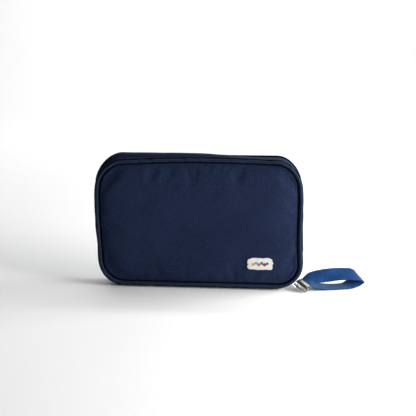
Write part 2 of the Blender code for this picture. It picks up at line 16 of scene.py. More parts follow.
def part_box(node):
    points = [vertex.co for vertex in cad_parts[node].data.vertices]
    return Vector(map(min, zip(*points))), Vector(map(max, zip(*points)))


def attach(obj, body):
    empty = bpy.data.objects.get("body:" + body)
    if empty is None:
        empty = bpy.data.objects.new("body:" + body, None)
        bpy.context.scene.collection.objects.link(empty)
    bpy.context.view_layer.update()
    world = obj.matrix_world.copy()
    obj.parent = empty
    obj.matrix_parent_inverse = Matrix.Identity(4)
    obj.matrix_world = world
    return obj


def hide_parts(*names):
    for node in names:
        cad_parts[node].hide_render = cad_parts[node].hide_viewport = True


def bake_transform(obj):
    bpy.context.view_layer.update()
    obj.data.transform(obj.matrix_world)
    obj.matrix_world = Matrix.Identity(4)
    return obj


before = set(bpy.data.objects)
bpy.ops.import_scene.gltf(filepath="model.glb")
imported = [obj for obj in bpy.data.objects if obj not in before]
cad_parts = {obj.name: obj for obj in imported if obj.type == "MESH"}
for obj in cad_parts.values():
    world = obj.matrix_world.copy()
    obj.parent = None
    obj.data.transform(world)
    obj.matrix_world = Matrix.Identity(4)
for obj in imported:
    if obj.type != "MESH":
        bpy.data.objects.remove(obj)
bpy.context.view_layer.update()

# Dimensions that the boxes of the nodes don't give
CORNER_RADIUS = 0.030
PIPING_RADIUS = 0.0016
PANEL_INSET = 0.0021
CROWN = 0.0037
CROWN_POWER = 4.0
RIM_ROLL = 0.0026
RIM_WIDTH = 0.0030
PAD_PRESSURE = 1.2
SETTLE_FRAMES = 24
SETTLE_LIMIT = 0.0012
FOAM_BACK = 0.0108
PIPING_SIDES = 18
# Gathered spots of the piping: how far round from the bottom's middle, how
# deep as a share of its radius, and how long
PUCKERS = (
    (0.0010, 0.20, 0.0012), (0.1010, 0.12, 0.0010), (0.2400, 0.22, 0.0012), (0.2629, 0.20, 0.0011),
    (0.2899, 0.16, 0.0010), (0.3419, 0.16, 0.0009), (0.3564, 0.20, 0.0010), (0.3919, 0.26, 0.0012),
    (0.4064, 0.24, 0.0011), (0.5100, 0.10, 0.0010), (0.6060, 0.16, 0.0009),
)

gusset_low, gusset_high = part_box("side_gusset")
spine_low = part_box("spine_gusset")[0]
piping_low, piping_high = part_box("front_piping")

WIDTH = gusset_high.x - gusset_low.x
HEIGHT = gusset_high.z - spine_low.z
RIM_Y = -(piping_low.y + piping_high.y) / 2
FRAME_HALF_X = piping_high.x - PIPING_RADIUS
FRAME_LOW_Z = piping_low.z + PIPING_RADIUS
FRAME_HIGH_Z = piping_high.z - PIPING_RADIUS
FRAME_Z = (FRAME_LOW_Z + FRAME_HIGH_Z) / 2
FRAME_HALF_Z = (FRAME_HIGH_Z - FRAME_LOW_Z) / 2
FRAME_RADIUS = CORNER_RADIUS - (WIDTH / 2 - FRAME_HALF_X)
CORNER_X = WIDTH / 2 - CORNER_RADIUS

# Camera, at the photograph's angle
CAMERA_AZIMUTH = math.radians(4.5)
CAMERA_ELEVATION = math.radians(14.5)
CAMERA_DISTANCE = 0.789
CAMERA_LENS = 61.4
CAMERA_AIM = Vector((0.0, 0.0, 0.071))
CAMERA_SHIFT = (0.0195, 0.0385)

WORLD_STRENGTH = 0.10


# ---------------------------------------------------------------- materials


def new_material(name):
    made = bpy.data.materials.new(name)
    made.use_nodes = True
    tree = made.node_tree
    shader = tree.nodes["Principled BSDF"]
    return made, tree, shader


class Nodes:
    """Short ways to add and join nodes in one material's tree."""

    def __init__(self, tree):
        self.tree = tree

    def add(self, kind, **settings):
        node = self.tree.nodes.new(kind)
        for key, value in settings.items():
            setattr(node, key, value)
        return node

    def link(self, source, target):
        self.tree.links.new(source, target)

    def feed(self, target, value):
        """Links a socket, or sets a plain value."""
        if isinstance(value, bpy.types.NodeSocket):
            self.link(value, target)
        else:
            target.default_value = value

    def math(self, operation, first, second=0.0, third=0.0):
        node = self.add("ShaderNodeMath", operation=operation)
        for place, value in enumerate((first, second, third)):
            self.feed(node.inputs[place], value)
        return node.outputs[0]

    def noise(self, vector, scale, detail=3.0, roughness=0.55):
        node = self.add("ShaderNodeTexNoise")
        self.feed(node.inputs["Vector"], vector)
        node.inputs["Scale"].default_value = scale
        node.inputs["Detail"].default_value = detail
        node.inputs["Roughness"].default_value = roughness
        return node.outputs["Fac"]

    def mix(self, factor, first, second):
        node = self.add("ShaderNodeMix", data_type="RGBA")
        self.feed(node.inputs["Factor"], factor)
        self.feed(node.inputs["A"], first)
        self.feed(node.inputs["B"], second)
        return node.outputs["Result"]

    def spread(self, value, low, high):
        """Stretches the range low to high over 0 to 1."""
        node = self.add("ShaderNodeMapRange")
        self.feed(node.inputs["Value"], value)
        node.inputs["From Min"].default_value = low
        node.inputs["From Max"].default_value = high
        return node.outputs["Result"]

    def bump(self, height, distance, strength=1.0):
        node = self.add("ShaderNodeBump")
        self.feed(node.inputs["Height"], height)
        node.inputs["Distance"].default_value = distance
        node.inputs["Strength"].default_value = strength
        return node.outputs["Normal"]


def solid(colour):
    return (*colour, 1.0)


def thread_waves(nodes, pitch):
    """The warp's and the weft's own waves, from the metric UV map, and the
    two places along the cloth that they come from."""
    uv = nodes.add("ShaderNodeUVMap", uv_map="cloth")
    split = nodes.add("ShaderNodeSeparateXYZ")
    nodes.link(uv.outputs["UV"], split.inputs[0])
    places = split.outputs[0], split.outputs[1]
    waves = [nodes.math("COSINE", nodes.math("MULTIPLY", at, 2 * math.pi / pitch)) for at in places]
    return waves, places


def object_place(nodes):
    place = nodes.add("ShaderNodeTexCoord")
    return place.outputs["Object"]


def woven(name, dark, light, pitch, depth, rough, sheen, sheen_tint, twill=False):
    """Woven cloth: plain or twill weave, fibre noise, and a slow change of
    tone from handling."""
    made, tree, shader = new_material(name)
    nodes = Nodes(tree)
    (wave_u, wave_v), places = thread_waves(nodes, pitch)
    if twill:
        both = nodes.math("ADD", *places)
        ridge = nodes.math("COSINE", nodes.math("MULTIPLY", both, 2 * math.pi / pitch))
        fine = nodes.math("MULTIPLY", wave_v, 0.25)
        weave = nodes.math("ADD", nodes.math("MULTIPLY", ridge, 0.75), fine)
    else:
        weave = nodes.math("MULTIPLY", wave_u, wave_v)
    place = object_place(nodes)
    fibre = nodes.noise(place, 1500.0, 2.0, 0.6)
    slub = nodes.noise(place, 340.0, 3.0, 0.6)
    handling = nodes.noise(place, 22.0, 3.0, 0.5)
    fleck = nodes.noise(place, 520.0, 1.0, 0.5)
    tone = nodes.math("MULTIPLY_ADD", weave, 0.16, -0.75)
    tone = nodes.math("MULTIPLY_ADD", fibre, 0.40, tone)
    tone = nodes.math("MULTIPLY_ADD", slub, 0.50, tone)
    tone = nodes.math("MULTIPLY_ADD", fleck, 0.90, tone)
    tone = nodes.math("MULTIPLY_ADD", handling, 0.70, tone)
    nodes.link(nodes.mix(tone, solid(dark), solid(light)), shader.inputs["Base Color"])
    rise = nodes.math("MULTIPLY_ADD", slub, 0.6, nodes.math("MULTIPLY", weave, 0.5))
    rise = nodes.math("MULTIPLY_ADD", fibre, 0.35, rise)
    nodes.link(nodes.bump(rise, depth), shader.inputs["Normal"])
    roughness = nodes.math("MULTIPLY_ADD", slub, 0.16, rough - 0.08)
    nodes.link(roughness, shader.inputs["Roughness"])
    shader.inputs["Sheen Weight"].default_value = sheen
    shader.inputs["Sheen Roughness"].default_value = 0.45
    shader.inputs["Sheen Tint"].default_value = solid(sheen_tint)
    shader.inputs["Specular IOR Level"].default_value = 0.035
    return made


NAVY_DARK = (0.0066, 0.0108, 0.0290)
NAVY_LIGHT = (0.0180, 0.0300, 0.0750)
SHEEN_BLUE = (0.55, 0.66, 0.90)
WHITE = (1.0, 1.0, 1.0)

canvas = woven("navy_canvas", NAVY_DARK, NAVY_LIGHT, 0.00062, 0.00010, 0.72, 0.03, SHEEN_BLUE)
piping_cloth = woven(
    "piping_cloth", (0.0075, 0.0120, 0.0280), (0.0190, 0.0310, 0.0680),
    0.00058, 0.00008, 0.62, 0.08, SHEEN_BLUE, twill=True,
)
binding_cloth = woven(
    "binding_cloth", (0.0050, 0.0070, 0.0160), (0.0130, 0.0190, 0.0400),
    0.00070, 0.00006, 0.70, 0.20, SHEEN_BLUE,
)
tape_cloth = woven(
    "zip_tape_cloth", (0.0040, 0.0055, 0.0130), (0.0120, 0.0170, 0.0360),
    0.00080, 0.00007, 0.62, 0.15, SHEEN_BLUE, twill=True,
)
lining_cloth = woven(
    "lining_cloth", (0.060, 0.075, 0.115), (0.125, 0.150, 0.205),
    0.00042, 0.00003, 0.50, 0.15, (0.8, 0.85, 1.0),
)
strap_cloth = woven(
    "strap_webbing", (0.0022, 0.0170, 0.0720), (0.0085, 0.0540, 0.1750),
    0.00095, 0.00016, 0.58, 0.30, (0.55, 0.75, 1.0), twill=True,
)
label_weave = woven(
    "label_weave", (0.62, 0.60, 0.54), (0.90, 0.88, 0.82), 0.00050, 0.00006, 0.75, 0.10, WHITE
)
label_field = woven(
    "label_field", (0.64, 0.66, 0.69), (0.82, 0.84, 0.86), 0.00045, 0.00004, 0.70, 0.10, WHITE
)


def brushed_metal(name, colour, rough):
    """Plated zinc: fine drawn scratches, a little tarnish in patches."""
    made, tree, shader = new_material(name)
    nodes = Nodes(tree)
    place = object_place(nodes)
    stretch = nodes.add("ShaderNodeMapping")
    nodes.link(place, stretch.inputs["Vector"])
    stretch.inputs["Scale"].default_value = (1.0, 8.0, 3.0)
    scratches = nodes.noise(stretch.outputs["Vector"], 900.0, 2.0, 0.7)
    tarnish = nodes.noise(place, 260.0, 4.0, 0.6)
    worn = tuple(channel * 0.62 for channel in colour)
    blend = nodes.spread(tarnish, 0.35, 0.75)
    nodes.link(nodes.mix(blend, solid(colour), solid(worn)), shader.inputs["Base Color"])
    roughness = nodes.math("MULTIPLY_ADD", scratches, 0.22, rough - 0.08)
    nodes.link(roughness, shader.inputs["Roughness"])
    nodes.link(nodes.bump(scratches, 0.00002, 0.6), shader.inputs["Normal"])
    shader.inputs["Metallic"].default_value = 1.0
    return made


metal = brushed_metal("zinc_hardware", (0.46, 0.43, 0.38), 0.28)


def plain_soft(name, dark, light, rough, scale, depth):
    """A matt material with grain but no weave, for foam, thread and nylon."""
    made, tree, shader = new_material(name)
    nodes = Nodes(tree)
    grain = nodes.noise(object_place(nodes), scale, 4.0, 0.6)
    nodes.link(nodes.mix(grain, solid(dark), solid(light)), shader.inputs["Base Color"])
    nodes.link(nodes.bump(grain, depth), shader.inputs["Normal"])
    nodes.link(nodes.math("MULTIPLY_ADD", grain, 0.15, rough - 0.07), shader.inputs["Roughness"])
    shader.inputs["Specular IOR Level"].default_value = 0.05
    return made


# Near black: painted shade, for the strip at the bottom of the grooves beside the piping
seam_shade_cloth = plain_soft(
    "seam_shade_cloth", (0.0010, 0.0014, 0.0030), (0.0030, 0.0042, 0.0090), 0.8, 1800.0, 0.00005
)
navy_thread = plain_soft(
    "navy_thread", (0.010, 0.015, 0.035), (0.035, 0.050, 0.100), 0.6, 2500.0, 0.00003
)
nylon_coil = plain_soft(
    "nylon_coil", (0.006, 0.008, 0.018), (0.020, 0.026, 0.050), 0.38, 1500.0, 0.00001
)
cream_thread = plain_soft(
    "cream_thread", (0.55, 0.52, 0.46), (0.80, 0.77, 0.70), 0.6, 2500.0, 0.00003
)
blue_thread = plain_soft(
    "blue_thread", (0.006, 0.040, 0.150), (0.020, 0.110, 0.330), 0.55, 2500.0, 0.00003
)


# ------------------------------------------------------------------ outlines


SOFT_BODIES = ("root", "cover", None)


def smooth_step(low, high, value):
    share = min(1.0, max(0.0, (value - low) / (high - low)))
    return share * share * (3 - 2 * share)


def bump_at(place, middle, reach):
    """A smooth bump of height 1 at the middle."""
    return math.exp(-(((place - middle) / reach) ** 2))


def wobble(seed, place, scale):
    """Smooth noise from -1 to 1."""
    return noise.noise(Vector(place) * scale + Vector((seed * 7.13, seed * 3.7, seed)))


def square_to(vector, axis):
    """The direction nearest to vector that is square to axis."""
    return (vector - axis * vector.dot(axis)).normalized()


def rounded_line(half_x, half_z, centre_z, radius, spacing):
    """Stations round a rounded rectangle, anticlockwise from the bottom's
    middle: (x, z, outward x, outward z, distance gone)."""
    inner_x, inner_z = half_x - radius, half_z - radius

    def straight(x, z, forward_x, forward_z, run):
        steps = max(2, round(run / spacing))
        for step in range(steps):
            gone = run * step / steps
            yield (x + forward_x * gone, z + forward_z * gone, forward_z, -forward_x)

    pieces = list(straight(0.0, centre_z - half_z, 1.0, 0.0, inner_x))
    corners = ((1, -1, -90), (1, 1, 0), (-1, 1, 90), (-1, -1, 180))
    runs = (2 * inner_z, 2 * inner_x, 2 * inner_z, inner_x)
    arc_steps = max(6, round(radius * math.pi / 2 / spacing))
    for (side_x, side_z, first), run in zip(corners, runs):
        middle_x, middle_z = side_x * inner_x, centre_z + side_z * inner_z
        for step in range(arc_steps + 1):
            angle = math.radians(first + 90 * step / arc_steps)
            away_x, away_z = math.cos(angle), math.sin(angle)
            x, z = middle_x + radius * away_x, middle_z + radius * away_z
            if step < arc_steps:
                pieces.append((x, z, away_x, away_z))
        pieces += straight(x, z, -away_z, away_x, run)
    found, gone = [], 0.0
    for index, piece in enumerate(pieces):
        if index:
            gone += math.dist(piece[:2], pieces[index - 1][:2])
        found.append((*piece, gone))
    return found


def settle_shape(place):
    """How the soft case has lost its square: its lower left side leans in,
    its right side is drawn in, its upper corners are worn round, and the
    front cover's upper edge bows up in the middle and has sunk at its ends,
    most at the left."""
    low = smooth_step(0.088, 0.020, place.z)
    left = smooth_step(0.030, -0.100, place.x)
    place.x += 0.0022 * low * left
    upper = smooth_step(0.100, 0.147, place.z)
    right = smooth_step(0.060, 0.122, place.x)
    corner_left = smooth_step(-0.060, -0.122, place.x)
    place.x -= (0.0022 * smooth_step(0.020, 0.060, place.z) + 0.0040 * upper) * right
    place.x += 0.0042 * upper * corner_left
    front = smooth_step(-0.0070, -0.0115, place.y)
    high = smooth_step(0.100, 0.145, place.z)
    further_left = smooth_step(-0.010, -0.090, place.x)
    bow = max(0.0, 1 - (place.x / 0.095) ** 2)
    place.z -= (0.0014 + 0.0014 * further_left - 0.0024 * bow) * front * high


def finish_mesh(name, mesh_data, material, body, angle=50.0):
    """Makes the piece and gives it its body and its material."""
    bmesh.ops.recalc_face_normals(mesh_data, faces=mesh_data.faces)
    if body in SOFT_BODIES:
        for vert in mesh_data.verts:
            settle_shape(vert.co)
    mesh = bpy.data.meshes.new(name)
    mesh_data.normal_update()
    mesh_data.to_mesh(mesh)
    mesh_data.free()
    mesh.shade_smooth()
    mesh.set_sharp_from_angle(angle=math.radians(angle))
    mesh.materials.append(material)
    piece = bpy.data.objects.new(name, mesh)
    bpy.context.scene.collection.objects.link(piece)
    if body:
        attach(piece, body)
    return piece


def lay_uv(mesh, up="z"):
    """Metric UVs straight from the corners' places."""
    layer = mesh.loops.layers.uv.new("cloth")
    for face in mesh.faces:
        for loop in face.loops:
            place = loop.vert.co
            loop[layer].uv = (place.x, getattr(place, up))


def join_rings(mesh, rings, closed=False):
    """Faces between rings of corners, and flat ends where the row of rings
    isn't closed. Gives back each side face with its ring and its side."""
    sides = len(rings[0])
    found = []
    for index in range(len(rings) if closed else len(rings) - 1):
        here, there = rings[index], rings[(index + 1) % len(rings)]
        for side in range(sides):
            after = (side + 1) % sides
            face = mesh.faces.new((here[side], here[after], there[after], there[side]))
            found.append((face, index, side))
    if not closed:
        mesh.faces.new(rings[0])
        mesh.faces.new(rings[-1][::-1])
    return found


def skin(rings, uv_at, closed=False):
    """A closed body over rings of places. uv_at gives a corner's UV from its
    ring and side, and either number may run one past the last."""
    mesh = bmesh.new()
    layer = mesh.loops.layers.uv.new("cloth")
    corners = [[mesh.verts.new(place) for place in ring] for ring in rings]
    for face, index, side in join_rings(mesh, corners, closed):
        spots = ((index, side), (index, side + 1), (index + 1, side + 1), (index + 1, side))
        for loop, spot in zip(face.loops, spots):
            loop[layer].uv = uv_at(*spot)
    return mesh


def sweep_mesh(line, section_at, closed):
    """A closed section carried along stations. section_at(station) gives the
    section's (inset, y) points."""
    rings, gones, walks = [], [], []
    for x, z, away_x, away_z, gone in line:
        section = list(section_at((x, z, away_x, away_z, gone)))
        rings.append([(x - away_x * inset, y, z - away_z * inset) for inset, y in section])
        walked = [0.0]
        for here, there in zip(section, section[1:] + section[:1]):
            walked.append(walked[-1] + math.dist(here, there))
        gones.append(gone)
        walks.append(walked)
    if closed:
        gones.append(gones[-1] + math.dist(line[0][:2], line[-1][:2]))
        walks.append(walks[0])
    return skin(rings, lambda index, side: (gones[index], walks[index][side]), closed)


def thick_sheet(front, behind, up="z"):
    """A closed sheet between two grids of places."""
    mesh = bmesh.new()
    near, far = [[[mesh.verts.new(p) for p in row] for row in grid] for grid in (front, behind)]
    rows, columns = len(front) - 1, len(front[0]) - 1
    for grid in (near, far):
        for here, there in zip(grid, grid[1:]):
            for at in range(columns):
                mesh.faces.new((here[at], here[at + 1], there[at + 1], there[at]))
    rim = [(0, column) for column in range(columns)]
    rim += [(row, columns) for row in range(rows)]
    rim += [(rows, column) for column in range(columns, 0, -1)]
    rim += [(row, 0) for row in range(rows, 0, -1)]
    for (row, at), (next_row, next_at) in zip(rim, rim[1:] + rim[:1]):
        corners = near[row][at], near[next_row][next_at], far[next_row][next_at], far[row][at]
        mesh.faces.new(corners)
    lay_uv(mesh, up)
    return mesh


def eased_corner(x, z, half_x, half_z, radius):
    """A grid point's place once the grid's square corners are made round."""
    past_x = max(0.0, abs(x) - (half_x - radius)) / radius
    past_z = max(0.0, abs(z) - (half_z - radius)) / radius
    out_x = min(abs(x), half_x - radius) + radius * past_x * math.sqrt(1 - past_z**2 / 2)
    out_z = min(abs(z), half_z - radius) + radius * past_z * math.sqrt(1 - past_x**2 / 2)
    return math.copysign(out_x, x), math.copysign(out_z, z)


# -------------------------------------------------------------------- covers

PAD_INSET = PANEL_INSET + 0.0007
PAD_HALF_X = FRAME_HALF_X - PAD_INSET
PAD_HALF_Z = FRAME_HALF_Z - PAD_INSET
PAD_RADIUS = FRAME_RADIUS - PAD_INSET
PIN_REACH = 0.0032
FULL_PIN_REACH = 0.0020
PAD_GRID = 0.0024
CROWN_REACH = 0.060
UNDULATION = 0.0005
PUCKER = 0.00035
PUCKER_REACH = 0.009
RIM_LINES = (0.0, 0.00025, 0.0006, 0.0010, 0.0015, 0.0021, 0.0028, 0.0038, 0.0052)


def grid_lines(half, radius):
    """Places of a pad's grid lines from one rim to the other, closer together
    beside each rim."""
    side = [half - near for near in RIM_LINES]
    start = side[-1]
    steps = round(start / PAD_GRID)
    middle = [start * step / steps for step in range(-steps + 1, steps)]
    return [-place for place in side] + middle + side[::-1]


def rim_distance(x, z):
    """How far inside the pad's rim a point lies."""
    past_x = abs(x) - (PAD_HALF_X - PAD_RADIUS)
    past_z = abs(z - FRAME_Z) - (PAD_HALF_Z - PAD_RADIUS)
    if past_x > 0 and past_z > 0:
        return max(0.0, PAD_RADIUS - math.hypot(past_x, past_z))
    return max(0.0, PAD_RADIUS - max(past_x, past_z))


def pad_swell(x, z, seed):
    """How far the pad's face stands out past the plane of its rim."""
    inside = rim_distance(x, z)
    share = min(1.0, inside / CROWN_REACH)
    swell = CROWN * (1 - (1 - share) ** CROWN_POWER)
    slow = wobble(seed, (x, z, 0.0), 26.0) + 0.5 * wobble(seed + 3, (x, z, 0.0), 60.0)
    swell += UNDULATION * slow * min(1.0, inside / 0.012)
    angle = math.atan2(z - FRAME_Z, x)
    pull = wobble(seed + 5, (math.cos(angle) * 9, math.sin(angle) * 9, inside * 30), 1.6)
    swell += PUCKER * pull * math.exp(-inside / PUCKER_REACH) * min(1.0, inside / 0.002)
    roll = max(0.0, 1 - inside / RIM_WIDTH)
    return swell - RIM_ROLL * (1 - math.sqrt(max(0.0, 1 - roll * roll)))


def settle_cloth(grid, faces, pins, pressure):
    """Lets a pad's cover fabric settle over its foam as a cloth held at the
    rim and pushed out from inside, and gives back where it came to rest."""
    mesh = bpy.data.meshes.new("settling")
    mesh.from_pydata(grid, [], faces)
    piece = bpy.data.objects.new("settling", mesh)
    bpy.context.scene.collection.objects.link(piece)
    held = piece.vertex_groups.new(name="held")
    for index, weight in pins.items():
        held.add([index], weight, "REPLACE")
    cloth = piece.modifiers.new("cloth", "CLOTH")
    settings = cloth.settings
    settings.quality = 6
    settings.mass = 0.25
    settings.tension_stiffness = 22.0
    settings.compression_stiffness = 22.0
    settings.shear_stiffness = 8.0
    settings.bending_stiffness = 2.2
    settings.vertex_group_mass = "held"
    settings.shrink_min = -0.012
    settings.effector_weights.gravity = 0.0
    settings.use_pressure = True
    settings.uniform_pressure_force = pressure
    cloth.collision_settings.use_collision = False
    scene = bpy.context.scene
    for frame_number in range(1, SETTLE_FRAMES + 1):
        scene.frame_set(frame_number)
    graph = bpy.context.evaluated_depsgraph_get()
    settled = [v.co.copy() for v in piece.evaluated_get(graph).data.vertices]
    scene.frame_set(1)
    bpy.data.objects.remove(piece)
    return settled


def build_pad(side, facing, body, seed):
    """One padded cover: fabric over foam board, as one closed body."""
    lines_x = grid_lines(PAD_HALF_X, PAD_RADIUS)
    lines_z = grid_lines(PAD_HALF_Z, PAD_RADIUS)
    across = len(lines_x)
    shape, pins = [], {}
    for up in lines_z:
        for along in lines_x:
            x, z = eased_corner(along, up, PAD_HALF_X, PAD_HALF_Z, PAD_RADIUS)
            z += FRAME_Z
            inside = rim_distance(x, z)
            if inside < PIN_REACH:
                pins[len(shape)] = 1.0 if inside < FULL_PIN_REACH else 0.8
            shape.append(Vector((x, facing * (RIM_Y + pad_swell(x, z, seed)), z)))
    quads = []
    for row in range(len(lines_z) - 1):
        for first in range(row * across, row * across + across - 1):
            quads.append((first, first + 1, first + across + 1, first + across))
    if facing > 0:
        quads = [quad[::-1] for quad in quads]
    settled = settle_cloth(shape, quads, pins, PAD_PRESSURE)
    for index, place in enumerate(settled):
        moved = place - shape[index]
        if moved.length > SETTLE_LIMIT:
            moved *= SETTLE_LIMIT / moved.length
        shape[index] += moved
    outside = [shape[start : start + across] for start in range(0, len(shape), across)]
    inside = [[(place.x, facing * FOAM_BACK, place.z) for place in row] for row in outside]
    mesh = thick_sheet(outside, inside)
    pad = finish_mesh(f"{side}_pad", mesh, canvas, body, 60)
    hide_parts(f"{side}_panel", f"{side}_foam_board")
    return pad


front_pad = build_pad("front", -1, "cover", 2)
build_pad("back", 1, "root", 11)


KINK = 0.0012
KINK_REACH = 0.006
# Where the near-black strip of painted groove shade lies: its y span and its insets
SEAM_SHADE_Y = (0.0123, 0.0134)
SEAM_SHADE_INSETS = (-0.0026, 0.0040)


def piping_radius(side, gone):
    """The piping's radius: it swells and thins along the seam, and puckers
    sharply where the stitches gather it."""
    seed = 4 if side == "front" else 9
    slow = 0.05 * wobble(seed, (gone, 0.0, 0.0), 45.0)
    fine = 0.035 * wobble(seed + 1, (gone, 0.0, 0.0), 210.0)
    pinch = 0.0
    for place, depth, reach in PUCKERS:
        pinch += depth * bump_at(gone, place, reach)
    return PIPING_RADIUS * (1.02 + slow + fine - pinch)


def build_piping(side, facing, body):
    """The covered cord sewn round a cover's edge, kinked where it gathers."""
    line = rounded_line(FRAME_HALF_X, FRAME_HALF_Z, FRAME_Z, FRAME_RADIUS, 0.0009)
    centre_y = facing * RIM_Y
    seed = 6 if side == "front" else 13

    def section(station):
        x, z, away_x, away_z, gone = station
        radius = piping_radius(side, gone)
        sway = 0.00022 * wobble(seed, (x, z, 0.0), 70.0)
        for place, depth, reach in PUCKERS:
            past = gone - place
            sway += KINK * depth * math.tanh(past / reach) * bump_at(past, 0.0, KINK_REACH)
        lift = 0.00016 * wobble(seed + 2, (x, z, 0.0), 110.0)
        ring = []
        for step in range(PIPING_SIDES):
            angle = 2 * math.pi * step / PIPING_SIDES
            inset = sway + radius * math.cos(angle)
            ring.append((inset, centre_y + lift + radius * math.sin(angle)))
        return ring

    mesh = sweep_mesh(line, section, True)
    piping = finish_mesh(f"{side}_piping_cord", mesh, piping_cloth, body, 70)
    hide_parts(f"{side}_piping")


def build_seam_shade(side, facing, body):
    """The seam allowance at the bottom of both grooves beside the piping, as a near-black strip:
    painted shade of the grooves.
    """
    line = rounded_line(FRAME_HALF_X, FRAME_HALF_Z, FRAME_Z, FRAME_RADIUS, 0.0020)
    low_y, high_y = (facing * y for y in SEAM_SHADE_Y)
    outer, inner = SEAM_SHADE_INSETS
    section = [(outer, low_y), (inner, low_y), (inner, high_y), (outer, high_y)]
    mesh = sweep_mesh(line, lambda station: section, True)
    # The near-black strip paints the grooves' shade
    finish_mesh(f"{side}_seam", mesh, seam_shade_cloth, body)


# The piping and, beside it, the strips of painted groove shade
for build in (build_seam_shade, build_piping):
    build("front", -1, "cover")
    build("back", 1, "root")


# -------------------------------------------------------------------- gusset

OUTER_LINE = rounded_line(WIDTH / 2, HEIGHT / 2, HEIGHT / 2, CORNER_RADIUS, 0.0014)
OUTLINE_LENGTH = OUTER_LINE[-1][4] + math.dist(OUTER_LINE[-1][:2], OUTER_LINE[0][:2])
ZIP_START = CORNER_X + CORNER_RADIUS * math.radians(10)
SLIDER_GONE = CORNER_X + CORNER_RADIUS * math.radians(41)
TRAVEL_END = SLIDER_GONE + CORNER_RADIUS * math.radians(48)
SPINE_GAP = 0.0003
GUSSET_FRONT = -0.0025
SET_IN_RIGHT = 0.0028
STAND_OUT_LEFT = 0.0020


def station_at(gone):
    """The station a given way round the case's outline."""
    gone %= OUTLINE_LENGTH
    closing = (*OUTER_LINE[0][:4], OUTLINE_LENGTH)
    for here, there in zip(OUTER_LINE, OUTER_LINE[1:] + [closing]):
        if here[4] <= gone <= there[4]:
            share = (gone - here[4]) / max(1e-9, there[4] - here[4])
            mixed = [a + (b - a) * share for a, b in zip(here, there)]
            size = math.hypot(mixed[2], mixed[3])
            return (mixed[0], mixed[1], mixed[2] / size, mixed[3] / size, gone)
    return OUTER_LINE[0]


def cut_line(start, end, spacing=0.0014):
    """Even stations along a stretch of the outline. start may lie before its
    own start, as a negative length."""
    steps = max(2, round((end - start) / spacing))
    found = []
    for step in range(steps + 1):
        gone = start + (end - start) * step / steps
        found.append((*station_at(gone)[:4], gone))
    return found


ZIP_LINE = cut_line(ZIP_START, OUTLINE_LENGTH - ZIP_START)
SPINE_LINE = cut_line(SPINE_GAP - ZIP_START, ZIP_START - SPINE_GAP)


def gusset_set_in(x, z):
    """How far the gusset's crest is drawn in from the outline. It sits full
    at the upper left and is pulled flat round the upper right corner."""
    right = smooth_step(-0.01, 0.100, x) * smooth_step(0.060, 0.125, z)
    left = smooth_step(0.070, -0.010, x) * smooth_step(0.060, 0.130, z)
    return SET_IN_RIGHT * right - STAND_OUT_LEFT * left


def clear_of_slider(gone):
    """1 away from the slider's travel and 0 beside it."""
    before = smooth_step(SLIDER_GONE - 0.010, SLIDER_GONE - 0.018, gone)
    after = smooth_step(TRAVEL_END + 0.008, TRAVEL_END + 0.018, gone)
    return max(before, after)


# Profiles across the strips, as (inset from the outline, y). The gusset's y
# counts back from GUSSET_FRONT.
GUSSET_PROFILE = (
    (0.0022, 0.0), (0.0014, 0.0006), (0.0008, 0.0018), (0.0003, 0.0036), (0.0, 0.0056),
    (0.0002, 0.0078), (0.0007, 0.0098), (0.0014, 0.0116), (0.0022, 0.0132), (0.0029, 0.0144),
)
SPINE_PROFILE = (
    (0.0026, -0.0102), (0.0012, -0.0096), (0.0004, -0.0084), (0.0, -0.0060), (0.0, 0.0),
    (0.0, 0.0060), (0.0006, 0.0088), (0.0016, 0.0110), (0.0030, 0.0122),
)
FRONT_STRIP = (
    (0.0030, -0.0122), (0.0018, -0.0122), (0.0009, -0.0120), (0.0004, -0.0115), (0.0004, -0.0108),
    (0.0011, -0.0102), (0.0020, -0.0095), (0.0034, -0.0092), (0.0040, -0.0092), (0.0040, -0.0126),
)
BACK_STRIP = (
    (0.0034, -0.0053), (0.0026, -0.0050), (0.0020, -0.0044), (0.0019, -0.0037), (0.0022, -0.0031),
    (0.0032, -0.0028), (0.0040, -0.0028), (0.0040, -0.0053),
)


def gusset_section(station):
    """The soft strip's section: out over the crest to the back piping, then
    home along the inside."""
    x, z, away_x, away_z, gone = station
    slow = 0.00035 * wobble(21, (x, z, 0.0), 40.0)
    fold = 0.00055 * wobble(22, (x * 0.5, z * 0.5, 0.0), 90.0)
    crest = gusset_set_in(x, z) + slow
    points = []
    for inset, forward in GUSSET_PROFILE:
        ripple = fold * math.sin(forward * 420 + gone * 9)
        depth = inset + crest * (1 - (inset / 0.0032) ** 2) + ripple * 0.5
        points.append((min(0.0031, max(-0.0024, depth)), GUSSET_FRONT + forward))
    home = ((0.0034, 0.0144), (0.0032, 0.0072), (0.0032, 0.0))
    return points + [(inset, GUSSET_FRONT + forward) for inset, forward in home]


def spine_section(station):
    """The strip that the case stands on, turned up a little at its ends."""
    x, z, away_x, away_z, gone = station
    slow = 0.00025 * (1 + wobble(31, (x, z, 0.0), 45.0))
    end = smooth_step(ZIP_START - 0.006, ZIP_START, abs(gone))
    points = []
    for inset, y in SPINE_PROFILE:
        points.append((inset + slow * min(1.0, inset / 0.0004) - 0.0003 * end, y))
    return points + [(0.0034, 0.0122), (0.0034, 0.0), (0.0034, -0.0098)]


for name, line, section, replaced in (
    ("gusset_strip", ZIP_LINE, gusset_section, "side_gusset"),
    ("spine_strip", SPINE_LINE, spine_section, "spine_gusset"),
):
    strip = finish_mesh(name, sweep_mesh(line, section, False), canvas, "root")
    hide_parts(replaced)


def tape_strip(name, profile, seed, body, replaced):
    """A zip tape with the strip of canvas sewn over it."""

    def section(station):
        x, z, away_x, away_z, gone = station
        full = clear_of_slider(gone) * (1 + 0.22 * wobble(seed, (x, z, 0.0), 55.0))
        inward = max(0.0, gusset_set_in(x, z)) * 0.55
        points = []
        for inset, y in profile:
            depth = inset if inset > 0.0031 else 0.0031 + (inset - 0.0031) * full
            points.append((depth + (inward if inset < 0.0031 else 0.0), y))
        return points

    strip = finish_mesh(name, sweep_mesh(ZIP_LINE, section, False), canvas, body)
    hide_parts(replaced)


